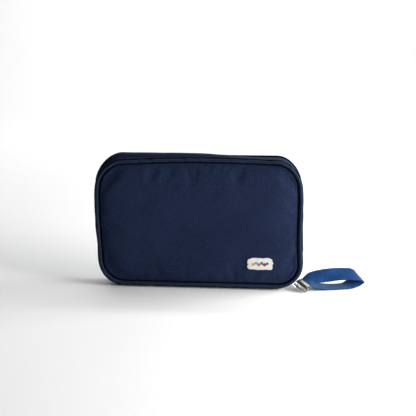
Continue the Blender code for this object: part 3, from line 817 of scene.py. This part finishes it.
tape_strip("zip_strip_front", FRONT_STRIP, 41, "cover", "zip_tape_front")
tape_strip("zip_strip_back", BACK_STRIP, 43, "root", "zip_tape_back")

BINDING_Y = (0.0098, 0.0129)


def build_binding(side, facing, body):
    """The narrow woven edge between a cover's piping and its lining."""
    line = rounded_line(FRAME_HALF_X, FRAME_HALF_Z, FRAME_Z, FRAME_RADIUS, 0.0020)
    low_y, high_y = BINDING_Y

    def section(station):
        x, z = station[:2]
        slack = 0.00012 * wobble(51, (x, z, 0.0), 80.0)
        return (
            (0.0003 + slack, facing * high_y), (0.0, facing * (low_y + 0.0018)),
            (0.0004 + slack, facing * (low_y + 0.0004)), (0.0009, facing * low_y),
            (0.0016, facing * low_y), (0.0018, facing * (low_y + 0.0006)), (0.0018, facing * high_y),
        )

    mesh = sweep_mesh(line, section, True)
    binding = finish_mesh(f"{side}_edge_binding", mesh, binding_cloth, body)
    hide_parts(f"{side}_binding")


build_binding("front", -1, "cover")
build_binding("back", 1, "root")

# The fabric hinge: canvas that crosses from the spine to the front piping
HINGE_BACK = (-0.0096, 0.0026)
HINGE_FRONT = (-0.0131, 0.0052)
HINGE_THICKNESS = 0.0004
HINGE_SAG = 0.0005
HINGE_ROWS = 8
HINGE_COLUMNS = 100
HINGE_HALF_X = CORNER_X + 0.004


def hinge_place(row, column, lift):
    share = row / HINGE_ROWS
    y = HINGE_BACK[0] + (HINGE_FRONT[0] - HINGE_BACK[0]) * share
    z = HINGE_BACK[1] + (HINGE_FRONT[1] - HINGE_BACK[1]) * share
    x = HINGE_HALF_X * (2 * column / HINGE_COLUMNS - 1)
    return x, y, z - HINGE_SAG * math.sin(math.pi * share) + lift


def hinge_row(row, lift):
    return [hinge_place(row, column, lift) for column in range(HINGE_COLUMNS + 1)]


hinge_faces = [
    [hinge_row(row, lift) for row in range(HINGE_ROWS + 1)] for lift in (0.0, HINGE_THICKNESS)
]
hinge = finish_mesh("fabric_hinge", thick_sheet(*hinge_faces, up="y"), canvas, None)
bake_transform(hinge)


# ------------------------------------------------------------ strap and metal

link_low, link_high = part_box("pull_link")
LINK_CENTRE = (link_low + link_high) / 2
LINK_DIRECTION = Vector((0.65, -0.71, -0.25)).normalized()
LINK_ACROSS = square_to(Vector((0.62, 0.33, 0.70)), LINK_DIRECTION)
STRAP_START = square_to(Vector((0.80, 0.65, 0.26)), LINK_DIRECTION)
LINK_LENGTH = 0.0176
LINK_SPACING = 0.0052
LINK_BEND = 0.0014
WIRE_RADIUS = 0.0008
WIRE_SIDES = 16
STRAP_WIDTH = 0.015
STRAP_THICKNESS = 0.0010


def wire_ring(points, radius, sides):
    """A closed ring of round wire along points."""
    rings = []
    normal = None
    for index, point in enumerate(points):
        tangent = (points[(index + 1) % len(points)] - points[index - 1]).normalized()
        normal = square_to(normal or tangent.orthogonal(), tangent)
        other = tangent.cross(normal)
        ring = []
        for side in range(sides):
            angle = 2 * math.pi * side / sides
            ring.append(point + (normal * math.cos(angle) + other * math.sin(angle)) * radius)
        rings.append(ring)
    return skin(rings, lambda index, side: (index * radius, side * radius), True)


def rounded_loop(corners, radius, steps):
    """A closed run of points with its square corners rounded."""
    points = []
    count = len(corners)
    for index, corner in enumerate(corners):
        before = (corners[index - 1] - corner).normalized() * radius
        after = (corners[(index + 1) % count] - corner).normalized() * radius
        centre = corner + before + after
        for step in range(steps + 1):
            angle = math.pi / 2 * step / steps
            points.append(centre - after * math.cos(angle) - before * math.sin(angle))
    return points


link_half = LINK_DIRECTION * (LINK_LENGTH / 2)
link_step = LINK_ACROSS * (LINK_SPACING / 2)
link_corners = [
    LINK_CENTRE + link_step * across + link_half * along
    for across, along in ((-1, -1), (-1, 1), (1, 1), (1, -1))
]
link_mesh = wire_ring(rounded_loop(link_corners, LINK_BEND, 8), WIRE_RADIUS, WIRE_SIDES)
link = finish_mesh("wire_link", link_mesh, metal, "link")
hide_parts("pull_link")

# The CAD's own metal pieces stay, with their edges worn: how wide the worn
# edge is, and how many steps round it
WORN_EDGE = (0.00022, 3)
SMALL_WORN_EDGE = (0.00012, 2)
for cad_name in (
    "slider_body", "strap_clamp", "zip_stop_left", "zip_stop_right", "mesh_zip_slider", "mesh_zip_tab"
):
    worn, segments = SMALL_WORN_EDGE if "mesh" in cad_name else WORN_EDGE
    cad_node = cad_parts[cad_name]
    cad_node.data.materials.clear()
    cad_node.data.materials.append(metal)
    edge = cad_node.modifiers.new("worn_edges", "BEVEL")
    edge.width = worn
    edge.segments = segments
    edge.limit_method = "ANGLE"
    edge.angle_limit = math.radians(35)


def smooth_path(knots, per_span):
    """Catmull-Rom points through the knots, from the first to the last."""
    points = []
    padded = [knots[0], *knots, knots[-1]]
    for index in range(1, len(padded) - 2):
        before, start, end, after = padded[index - 1 : index + 3]
        for step in range(per_span):
            t = step / per_span
            square = (2 * before - 5 * start + 4 * end - after) * t**2
            cube = (3 * start - before - 3 * end + after) * t**3
            points.append(0.5 * (2 * start + (end - before) * t + square + cube))
    points.append(knots[-1])
    return points


def eased_path(directions, per_span):
    """Directions that turn smoothly from each one to the next."""
    found = []
    for here, there in zip(directions, directions[1:]):
        for step in range(per_span):
            t = step / per_span
            eased = t * t * (3 - 2 * t)
            found.append(here.lerp(there, eased).normalized())
    found.append(directions[-1].normalized())
    return found


def strap_course(per_span):
    """The webbing's middle line and the way its width faces."""
    bar = LINK_CENTRE + link_step
    normal = LINK_DIRECTION.cross(STRAP_START).normalized()
    lift = normal * (STRAP_THICKNESS / 2 + 0.00015)
    start = bar + STRAP_START * 0.0014
    inside = bar + STRAP_START * 0.0034
    mouth = bar + STRAP_START * 0.0060
    clamp_wide = -LINK_DIRECTION
    leaning = Vector((-0.10, 0.45, 0.89))
    flat = Vector((0.0, 0.99, 0.10))
    knots = (
        (start + lift, clamp_wide),
        (inside + lift, clamp_wide),
        (mouth + lift * 1.4, clamp_wide),
        (Vector((0.1270, -0.0045, 0.0130)), clamp_wide.lerp(leaning, 0.55)),
        (Vector((0.1430, -0.0010, 0.0152)), leaning),
        (Vector((0.1580, 0.0012, 0.0162)), Vector((-0.10, 0.66, 0.74))),
        (Vector((0.1690, 0.0028, 0.0160)), Vector((-0.26, 0.64, 0.72))),
        (Vector((0.1754, 0.0042, 0.0146)), Vector((-0.50, 0.52, 0.69))),
        (Vector((0.1794, 0.0056, 0.0116)), Vector((-0.68, 0.38, 0.62))),
        (Vector((0.1770, 0.0064, 0.0082)), Vector((-0.68, 0.38, 0.60))),
        (Vector((0.1690, 0.0044, 0.0038)), Vector((-0.30, 0.84, 0.34))),
        (Vector((0.1580, 0.0008, 0.0022)), flat),
        (Vector((0.1430, -0.0020, 0.0020)), flat),
        (Vector((0.1290, -0.0055, 0.0046)), clamp_wide.lerp(flat, 0.5)),
        (mouth - lift * 1.4, clamp_wide),
        (inside - lift, clamp_wide),
        (start - lift, clamp_wide),
    )
    middle = smooth_path([point for point, wide in knots], per_span)
    across = eased_path([wide for point, wide in knots], per_span)
    return middle, across


# The webbing's section, as shares of half its width and half its thickness:
# half of it, over the upper face from one thick woven edge to the other
STRAP_SECTION = (
    (-1.0, 0.55), (-0.96, 1.0), (-0.86, 1.05), (-0.80, 0.92), (-0.4, 0.95), (0.0, 0.97),
    (0.4, 0.95), (0.80, 0.92), (0.86, 1.05), (0.96, 1.0), (1.0, 0.55),
)
STRAP_CUP = 0.00035
STRAP_STEP = 0.0015


def build_strap():
    """The loop of webbing. Gives back its middle line and its width's way."""
    middle, across = strap_course(10)
    outline = [(w, t) for w, t in STRAP_SECTION]
    outline += [(w, -t) for w, t in STRAP_SECTION[::-1]]
    rings, gones, gone = [], [], 0.0
    last = len(middle) - 1
    for index, point in enumerate(middle):
        before, after = middle[max(0, index - 1)], middle[min(last, index + 1)]
        tangent = (after - before).normalized()
        wide = across[index].normalized()
        thick = tangent.cross(wide).normalized()
        fray = 1 + 0.012 * wobble(61, (gone, 0, 0), 400.0)
        cup = STRAP_CUP * (1 + wobble(62, (gone, 0, 0), 45.0))
        cup *= smooth_step(0.008, 0.025, min(index, last - index) * STRAP_STEP)
        ring = []
        for w, t in outline:
            place = point + wide * (w * fray * STRAP_WIDTH / 2)
            place += thick * (t * STRAP_THICKNESS / 2 + cup * (w * w - 0.5) * 0.6)
            ring.append(place)
        rings.append(ring)
        gones.append(gone)
        gone += (after - point).length
    widths = [w * STRAP_WIDTH / 2 for w, t in (*outline, outline[0])]
    mesh = skin(rings, lambda index, side: (gones[index], widths[side]))
    strap = finish_mesh("webbing_strap", mesh, strap_cloth, "strap", 60)
    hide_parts("wrist_strap")
    return middle, across


strap_middle, strap_across = build_strap()


# --------------------------------------------------------------------- label

LABEL_CENTRE = (0.0676, 0.0322)
LABEL_HALF = (0.0137, 0.0066)
FIELD_HALF = (0.0108, 0.0046)
LABEL_ABOVE = 0.0009


def surface_of(piece):
    """A finder of the front cover's outer face: (x, z) gives its y."""
    tree = BVHTree.FromObject(piece, bpy.context.evaluated_depsgraph_get())
    return lambda x, z: tree.ray_cast(Vector((x, -0.05, z)), Vector((0, 1, 0)))[0].y


front_face = surface_of(front_pad)


def draped_patch(name, outline, lift, drop, material, rings):
    """A thin closed patch laid on the front cover, outline as (x, z)."""
    middle_x = sum(x for x, z in outline) / len(outline)
    middle_z = sum(z for x, z in outline) / len(outline)
    mesh = bmesh.new()

    def corner(x, z, height):
        return mesh.verts.new((x, front_face(x, z) - height, z))

    rims = []
    for height in (lift, drop):
        loops = []
        for ring in range(rings):
            share = 1 - ring / rings
            loops.append([
                corner(middle_x + (x - middle_x) * share, middle_z + (z - middle_z) * share, height)
                for x, z in outline
            ])
        centre = corner(middle_x, middle_z, height)
        for outer, inner in zip(loops, loops[1:]):
            for index in range(len(outline)):
                mesh.faces.new((outer[index - 1], outer[index], inner[index], inner[index - 1]))
        for index in range(len(outline)):
            mesh.faces.new((loops[-1][index - 1], loops[-1][index], centre))
        rims.append(loops[0])
    top, bottom = rims
    for index in range(len(outline)):
        mesh.faces.new((top[index - 1], top[index], bottom[index], bottom[index - 1]))
    lay_uv(mesh)
    return finish_mesh(name, mesh, material, "cover", 45)


def wavy_outline(centre, half, count, depth, power, seed):
    """A blunt rounded outline with a frayed, wavy edge."""
    points = []
    for index in range(count):
        angle = 2 * math.pi * index / count
        c, s = math.cos(angle), math.sin(angle)
        blunt = (abs(c) ** power + abs(s) ** power) ** (-1 / power)
        blunt *= 1 + depth * math.sin(7 * angle + seed) + 0.6 * depth * math.sin(13 * angle)
        points.append((centre[0] + half[0] * blunt * c, centre[1] + half[1] * blunt * s))
    return points


label_outline = wavy_outline(LABEL_CENTRE, LABEL_HALF, 72, 0.035, 6, 0.6)
label = draped_patch("woven_label", label_outline, LABEL_ABOVE, -0.0003, label_weave, 6)
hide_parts("label_patch")
field_outline = wavy_outline(LABEL_CENTRE, FIELD_HALF, 60, 0.03, 4, 1.9)
draped_patch("label_field", field_outline, LABEL_ABOVE + 0.00012, 0.0006, label_field, 4)

# Plain embroidered spots: place along the label, height, radius and colour
MOTIFS = (
    ("ochre", -0.0076, -0.0006, 0.0019, (0.70, 0.45, 0.07)),
    ("sky", -0.0045, 0.0009, 0.0016, (0.16, 0.34, 0.60)),
    ("orange", -0.0015, -0.0007, 0.0019, (0.62, 0.18, 0.04)),
    ("green", 0.0016, 0.0009, 0.0017, (0.07, 0.26, 0.10)),
    ("red", 0.0047, -0.0006, 0.0019, (0.42, 0.03, 0.04)),
    ("slate", 0.0077, 0.0007, 0.0016, (0.08, 0.15, 0.28)),
)
for motif, along, up, radius, colour in MOTIFS:
    centre = (LABEL_CENTRE[0] + along, LABEL_CENTRE[1] + up)
    outline = wavy_outline(centre, (radius, radius), 28, 0.0, 2, 0.0)
    dark = tuple(channel * 0.75 for channel in colour)
    thread = woven(f"thread_{motif}", dark, colour, 0.00040, 0.00005, 0.55, 0.1, WHITE)
    draped_patch(f"label_motif_{motif}", outline, LABEL_ABOVE + 0.00035, 0.0008, thread, 3)


def stitch_row(name, places, body, length, radius, material):
    """Separate thread stitches: each place is (middle, along, away)."""
    mesh = bmesh.new()
    for middle, along, away in places:
        side = along.cross(away).normalized()
        rings = []
        for step in range(5):
            share = step / 4 * 2 - 1
            thin = radius * (1 - 0.45 * share * share)
            rise = away * (radius * 0.9 * (1 - share * share) - radius * 0.35)
            centre = middle + along * (share * length / 2) + rise
            ring = []
            for turn in range(6):
                angle = math.pi * turn / 3
                offset = (side * math.cos(angle) + away * math.sin(angle)) * thin
                ring.append(mesh.verts.new(centre + offset))
            rings.append(ring)
        join_rings(mesh, rings)
    lay_uv(mesh)
    return finish_mesh(name, mesh, material, body, 80)


LABEL_SEAM = (0.92, 0.88)
label_stitches = []
for (x, z), (next_x, next_z) in zip(label_outline, label_outline[1:] + label_outline[:1]):
    inner_x = LABEL_CENTRE[0] + (x - LABEL_CENTRE[0]) * LABEL_SEAM[0]
    inner_z = LABEL_CENTRE[1] + (z - LABEL_CENTRE[1]) * LABEL_SEAM[1]
    along = Vector((next_x - x, 0, next_z - z))
    if along.length > 0.0002:
        place = Vector((inner_x, front_face(inner_x, inner_z) - LABEL_ABOVE, inner_z))
        label_stitches.append((place, along.normalized(), Vector((0, -1, 0))))
stitch_row("label_stitching", label_stitches, "cover", 0.0008, 0.00013, cream_thread)

# Rows of stitches across the webbing, just outside the clamp
tack_places = []
for index in (31, 34, -35, -32):
    point = strap_middle[index]
    tangent = (strap_middle[index + 1] - strap_middle[index - 1]).normalized()
    wide = square_to(strap_across[index], tangent)
    thick = tangent.cross(wide).normalized()
    for step in range(9):
        shift = wide * ((step / 8 - 0.5) * STRAP_WIDTH * 0.8)
        for face in (thick, -thick):
            tack_places.append((point + shift + face * 0.00048, wide, face))
stitch_row("strap_stitching", tack_places, "strap", 0.0011, 0.00016, blue_thread)


# ------------------------------------------------------------------- inside

SHEET_GRID = 0.0030
SHEET_DEPTH = 0.0006
STITCH_PITCH = 0.0024
STITCH_LENGTH = 0.0017
STITCH_RADIUS = 0.00013
ALONG_X = Vector((1, 0, 0))
ALONG_Y = Vector((0, 1, 0))
ALONG_Z = Vector((0, 0, 1))


def cloth_sheet(name, spans, y_outer, facing, made_of, body, shape, depth=SHEET_DEPTH):
    """A sewn pocket or lining as a closed thin sheet. facing is the way it
    faces, -1 or +1 along Y; shape is its corner radius, how far its face
    bellies out, its ripples and a seed."""
    radius, belly, ripple, seed = shape
    (x_low, x_high), (z_low, z_high) = spans
    columns = max(8, round((x_high - x_low) / SHEET_GRID))
    rows = max(8, round((z_high - z_low) / SHEET_GRID))
    half_x, half_z = (x_high - x_low) / 2, (z_high - z_low) / 2
    front, behind = [], []
    for row in range(rows + 1):
        front.append([])
        behind.append([])
        for column in range(columns + 1):
            u = column / columns * 2 - 1
            v = row / rows * 2 - 1
            x, z = eased_corner(u * half_x, v * half_z, half_x, half_z, radius)
            inside = (1 - u * u) * (1 - v * v)
            rise = belly * inside
            rise += ripple * wobble(seed, (x, z, 0.0), 38.0) * min(1.0, inside * 6)
            place = Vector((x_low + half_x + x, y_outer + facing * rise, z_low + half_z + z))
            front[-1].append(place)
            behind[-1].append(place - ALONG_Y * facing * depth)
    return finish_mesh(name, thick_sheet(front, behind), made_of, body, 50)


def node_spans(node, facing=-1):
    """A node's spans along X and Z, and the y of the face turned one way."""
    low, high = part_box(node)
    return ((low.x, high.x), (low.z, high.z)), high.y if facing > 0 else low.y


def steps_along(low, high, pitch=STITCH_PITCH):
    return [low + step * pitch for step in range(round((high - low) / pitch) + 1)]


for side, facing, body in (("front", 1, "cover"), ("back", -1, "root")):
    spans, y_face = node_spans(f"{side}_lining", facing)
    shape = (0.024, 0.0, 0.00006, 71 + facing)
    lining = cloth_sheet(f"{side}_lining_cloth", spans, y_face, facing, lining_cloth, body, shape)
    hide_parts(f"{side}_lining")

for name, start, end, inset, replaced in (
    ("gusset_inside", ZIP_START, OUTLINE_LENGTH - ZIP_START, 0.0033, "gusset_lining"),
    ("spine_inside", 0.0004 - ZIP_START, ZIP_START - 0.0004, 0.0037, "spine_lining"),
):
    low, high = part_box(replaced)
    deep = inset + SHEET_DEPTH
    band = [(inset, low.y), (deep, low.y), (deep, high.y), (inset, high.y)]
    line = cut_line(start, end, 0.0020)
    mesh = sweep_mesh(line, lambda station, band=band: band, False)
    piece = finish_mesh(name, mesh, lining_cloth, "root")
    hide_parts(replaced)

# Each pocket's node, body, corner radius and belly
POCKETS = [("cover_slip_pocket", "cover", 0.006, 0.00012)]
for column in ("left", "right"):
    POCKETS += [(f"card_slot_{column}_{row}", "cover", 0.004, 0.0) for row in (1, 2, 3)]
for pocket in ("ticket_pocket", "passport_pocket_left", "passport_pocket_right"):
    POCKETS.append((pocket, "root", 0.005, 0.0))
MOUTH_REACH = 0.0022


def build_pocket(number, node, body, radius, belly):
    """A pocket with a bound mouth, stitched along its mouth and sides."""
    facing = 1 if body == "cover" else -1
    spans, y_face = node_spans(node, facing)
    (x_low, x_high), (z_low, z_high) = spans
    shape = (radius, belly, 0.00008, 80 + number)
    pocket = cloth_sheet(f"{node}_cloth", spans, y_face, facing, lining_cloth, body, shape)
    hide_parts(node)
    inner = (x_low + radius * 0.3, x_high - radius * 0.3)
    mouth = (inner, (z_high - MOUTH_REACH * 2, z_high + 0.0002))
    mouth_y = y_face + facing * 0.00022
    shape = (0.0008, 0.0, 0.00003, 95 + number)
    cloth_sheet(f"{node}_mouth", mouth, mouth_y, facing, binding_cloth, body, shape, 0.0009)
    away = Vector((0, facing, 0))
    seam = []
    for x in steps_along(inner[0] + 0.002, inner[1] - 0.002):
        place = Vector((x, y_face + facing * 0.00030, z_high - MOUTH_REACH * 1.7))
        seam.append((place, ALONG_X, away))
    for z in steps_along(z_low + 0.006, z_high - 0.008):
        for x in (x_low + 0.0016, x_high - 0.0016):
            seam.append((Vector((x, y_face + facing * 0.00005, z)), ALONG_Z, away))
    stitch_row(
        f"{node}_stitching", seam, body, STITCH_LENGTH, STITCH_RADIUS, navy_thread
    )


for number, pocket in enumerate(POCKETS):
    build_pocket(number, *pocket)


# ------------------------------------------------------- netting and zip teeth

NET_PITCH = 0.0022
NET_THREAD = 0.00021
NET_SLOPES = (math.radians(60), math.radians(120))
NET_MARGIN = 0.0010
NET_BAND = 0.0040
TOOTH_PITCH = 0.0012


def clip_to_span(start, heading, x_span, z_span):
    """Where a line through start crosses a rectangle, as two distances."""
    low, high = -1e9, 1e9
    for place, slope, span in ((start[0], heading[0], x_span), (start[1], heading[1], z_span)):
        if abs(slope) < 1e-9:
            if not span[0] <= place <= span[1]:
                return None
            continue
        near, far = sorted(((span[0] - place) / slope, (span[1] - place) / slope))
        low, high = max(low, near), min(high, far)
    return (low, high) if high - low > 0.001 else None


def add_bar(mesh, ends, side, away, half_wide, half_thick):
    """A short square bar between two points."""
    corners = ((-1, -1), (1, -1), (1, 1), (-1, 1))
    rings = [
        [mesh.verts.new(end + side * half_wide * a + away * half_thick * b) for a, b in corners]
        for end in ends
    ]
    join_rings(mesh, rings)


def build_netting():
    """Two layers of slanting threads, in a bound frame."""
    spans, low_y = node_spans("mesh_pocket")
    (x_low, x_high), (z_low, z_high) = spans
    inner = [(low + NET_MARGIN, high - NET_MARGIN) for low, high in spans]
    mesh = bmesh.new()
    for level, slope in enumerate(NET_SLOPES):
        heading = Vector((math.cos(slope), 0, math.sin(slope)))
        across = Vector((-heading.z, 0, heading.x))
        middle = Vector(((x_low + x_high) / 2, low_y + 0.00018 + level * 0.00022, (z_low + z_high) / 2))
        for step in range(-90, 91):
            start = middle + across * step * NET_PITCH
            crossed = clip_to_span((start.x, start.z), (heading.x, heading.z), *inner)
            if crossed:
                ends = [start + heading * far for far in crossed]
                add_bar(mesh, ends, across, ALONG_Y, NET_THREAD, 0.00010)
    lay_uv(mesh)
    net = finish_mesh("mesh_netting", mesh, nylon_coil, "root", 30)
    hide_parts("mesh_pocket")
    between = (z_low + NET_BAND + 0.0001, z_high - NET_BAND - 0.0001)
    bands = (
        ("low", (x_low, x_high), (z_low, z_low + NET_BAND)),
        ("high", (x_low, x_high), (z_high - NET_BAND, z_high)),
        ("left", (x_low, x_low + NET_BAND), between),
        ("right", (x_high - NET_BAND, x_high), between),
    )
    for number, (where, *band) in enumerate(bands):
        shape = (0.0010, 0.0, 0.00003, 110 + number)
        cloth_sheet(f"mesh_binding_{where}", band, low_y, -1, binding_cloth, "root", shape)


build_netting()


def build_pocket_zip():
    """The mesh pocket's tape, with its stitches, and its coil."""
    spans, low_y = node_spans("mesh_zip_tape")
    (x_low, x_high), (z_low, z_high) = spans
    shape = (0.0030, 0.0, 0.00004, 118)
    tape = cloth_sheet("pocket_zip_tape", spans, low_y, -1, tape_cloth, "root", shape)
    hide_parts("mesh_zip_tape")
    low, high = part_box("mesh_zip_coil")
    middle_y = (low.y + high.y) / 2
    mesh = bmesh.new()
    for step in range(round((high.x - low.x) / TOOTH_PITCH)):
        x = low.x + 0.0006 + step * TOOTH_PITCH
        lean = 0.0002 if step % 2 else -0.0002
        ends = (Vector((x + lean, middle_y, low.z)), Vector((x - lean, middle_y, high.z)))
        add_bar(mesh, ends, ALONG_X, ALONG_Y, 0.00040, 0.00042)
    lay_uv(mesh)
    coil = finish_mesh("pocket_zip_teeth", mesh, nylon_coil, "root", 30)
    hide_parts("mesh_zip_coil")
    seam = []
    for x in steps_along(x_low + 0.003, x_high - 0.003)[:-1]:
        for z in (z_low + 0.0012, z_high - 0.0012):
            seam.append((Vector((x, low_y - 0.00005, z)), ALONG_X, -ALONG_Y))
    stitch_row(
        "pocket_zip_stitching", seam, "root", STITCH_LENGTH, STITCH_RADIUS, navy_thread
    )


build_pocket_zip()

COIL_DEPTH = 0.0037
CORD_PROFILE = ((0.00335, -0.00022), (0.0040, -0.00022), (0.0040, 0.00022), (0.00335, 0.00022))


def zip_teeth(name, node, body, mates_y, offset):
    """One half's row of teeth on its cord. Past the slider's travel they
    reach across the middle, between the other half's."""
    low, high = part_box(node)
    outer_y, near_y = (low.y, high.y) if mates_y > high.y else (high.y, low.y)
    mesh = bmesh.new()
    for step in range(round((OUTLINE_LENGTH - 2 * ZIP_START) / TOOTH_PITCH) - 1):
        gone = ZIP_START + TOOTH_PITCH * (step + 0.5 + offset)
        x, z, away_x, away_z = station_at(gone)[:4]
        away = Vector((away_x, 0, away_z))
        reach_y = mates_y if gone > TRAVEL_END + 0.008 else near_y
        centre = Vector((x, 0, z)) - away * COIL_DEPTH
        ends = [centre + ALONG_Y * outer_y, centre + ALONG_Y * reach_y]
        add_bar(mesh, ends, Vector((-away_z, 0, away_x)), away, 0.00026, 0.00045)
    middle_y = outer_y + (near_y - outer_y) * 0.25
    rings = []
    for x, z, away_x, away_z, gone in cut_line(ZIP_START, OUTLINE_LENGTH - ZIP_START, 0.0025):
        rings.append([
            mesh.verts.new((x - away_x * inset, middle_y + y, z - away_z * inset))
            for inset, y in CORD_PROFILE
        ])
    join_rings(mesh, rings)
    lay_uv(mesh)
    teeth = finish_mesh(name, mesh, nylon_coil, body, 30)
    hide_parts(node)


# How far the teeth reach across the middle where the zip is closed
FRONT_REACH_Y = -0.00702
BACK_REACH_Y = -0.00748
zip_teeth("zip_teeth_front", "zip_coil_front", "cover", FRONT_REACH_Y, 0.0)
zip_teeth("zip_teeth_back", "zip_coil_back", "root", BACK_REACH_Y, 0.5)

LOOP_WALL = 0.0007
LOOP_ROWS = 34
LOOP_TURNS = 48
LOOP_RIB = 0.00005


def build_pen_loop():
    """The pen loop: ribbed elastic, as a tube open at both ends."""
    low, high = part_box("pen_loop")
    middle = (low + high) / 2
    outer = (high.x - low.x) / 2
    profile = []
    for row in range(LOOP_ROWS + 1):
        share = row / LOOP_ROWS
        profile.append((outer + LOOP_RIB * math.cos(share * LOOP_ROWS * math.pi), share))
    profile += [(outer - LOOP_WALL, 1 - row / 8) for row in range(9)]
    rings = []
    for radius, share in profile:
        reach, z = radius - 0.00006, low.z + (high.z - low.z) * share
        ring = []
        for turn in range(LOOP_TURNS):
            angle = 2 * math.pi * turn / LOOP_TURNS
            ring.append((middle.x + reach * math.cos(angle), middle.y + reach * math.sin(angle), z))
        rings.append(ring)
    width = 2 * math.pi * outer / LOOP_TURNS
    mesh = skin(rings, lambda index, side: (side * width, rings[index % len(rings)][0][2]), True)
    elastic = finish_mesh("pen_elastic", mesh, tape_cloth, "root", 40)
    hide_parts("pen_loop")


build_pen_loop()


# --------------------------------------------------------------------- stage

SWEEP_HALF = 4.0
SWEEP_FRONT = -3.0
SWEEP_BACK = 1.6
SWEEP_TOP = 4.0
SWEEP_RADIUS = 0.9
SWEEP_STEPS = 12


def build_stage():
    """A plain pale floor that curves up behind the case."""
    cloth, tree, shader = new_material("studio_floor")
    shader.inputs["Base Color"].default_value = solid((0.93, 0.93, 0.93))
    shader.inputs["Roughness"].default_value = 0.65
    shader.inputs["Specular IOR Level"].default_value = 0.2
    rows = [(SWEEP_FRONT, 0.0), (0.0, 0.0), (SWEEP_BACK, 0.0)]
    for step in range(1, SWEEP_STEPS + 1):
        angle = math.pi / 2 * step / SWEEP_STEPS
        y = SWEEP_BACK + SWEEP_RADIUS * math.sin(angle)
        rows.append((y, SWEEP_RADIUS * (1 - math.cos(angle))))
    rows.append((SWEEP_BACK + SWEEP_RADIUS, SWEEP_TOP))
    mesh = bmesh.new()
    pairs = [[mesh.verts.new((x, y, z)) for x in (-SWEEP_HALF, SWEEP_HALF)] for y, z in rows]
    for here, there in zip(pairs, pairs[1:]):
        mesh.faces.new((here[0], here[1], there[1], there[0]))
    data = bpy.data.meshes.new("studio_sweep")
    mesh.to_mesh(data)
    mesh.free()
    data.shade_smooth()
    data.materials.append(cloth)
    studio = bpy.data.objects.new("studio_sweep", data)
    bpy.context.scene.collection.objects.link(studio)


build_stage()

world = bpy.data.worlds.new("studio_world")
world.use_nodes = True
sky = world.node_tree.nodes["Background"]
sky.inputs["Color"].default_value = (0.95, 0.97, 1.0, 1.0)
sky.inputs["Strength"].default_value = WORLD_STRENGTH
bpy.context.scene.world = world

CASE_MIDDLE = (0.0, 0.0, 0.05)
# Each area light's place, aim, size, power and colour
LIGHTS = (
    ("key_softbox", (0.90, -0.32, 0.32), CASE_MIDDLE, (0.44, 0.40), 14.5, (1.0, 0.99, 0.97)),
    ("top_softbox", (0.98, 0.16, 0.44), CASE_MIDDLE, (0.5, 0.44), 13.0, (0.98, 0.99, 1.0)),
    ("left_panel", (-0.90, 0.60, 0.90), CASE_MIDDLE, (0.8, 0.8), 0.2, WHITE),
    ("backdrop_panel", (0.0, 0.9, 1.9), (0.0, 2.4, 0.5), (3.0, 0.8), 46.0, WHITE),
)
for name, place, aim, size, power, colour in LIGHTS:
    light_data = bpy.data.lights.new(name, "AREA")
    light_data.shape = "RECTANGLE"
    light_data.size, light_data.size_y = size
    light_data.energy = power
    light_data.color = colour
    lamp = bpy.data.objects.new(name, light_data)
    lamp.location = place
    lamp.rotation_euler = (Vector(aim) - Vector(place)).to_track_quat("-Z", "Y").to_euler()
    bpy.context.scene.collection.objects.link(lamp)

camera_data = bpy.data.cameras.new("camera")
camera_data.lens = CAMERA_LENS
camera_data.sensor_width = 36.0
camera_data.shift_x, camera_data.shift_y = CAMERA_SHIFT
camera_data.clip_start = 0.01
camera = bpy.data.objects.new("camera", camera_data)
level = math.cos(CAMERA_ELEVATION)
back = Vector((
    math.sin(CAMERA_AZIMUTH) * level, -math.cos(CAMERA_AZIMUTH) * level, math.sin(CAMERA_ELEVATION)
))
camera.location = CAMERA_AIM + back * CAMERA_DISTANCE
camera.rotation_euler = (-back).to_track_quat("-Z", "Y").to_euler()
bpy.context.scene.collection.objects.link(camera)
bpy.context.scene.camera = camera
bpy.context.scene.view_settings.view_transform = "Standard"

bpy.context.view_layer.update()
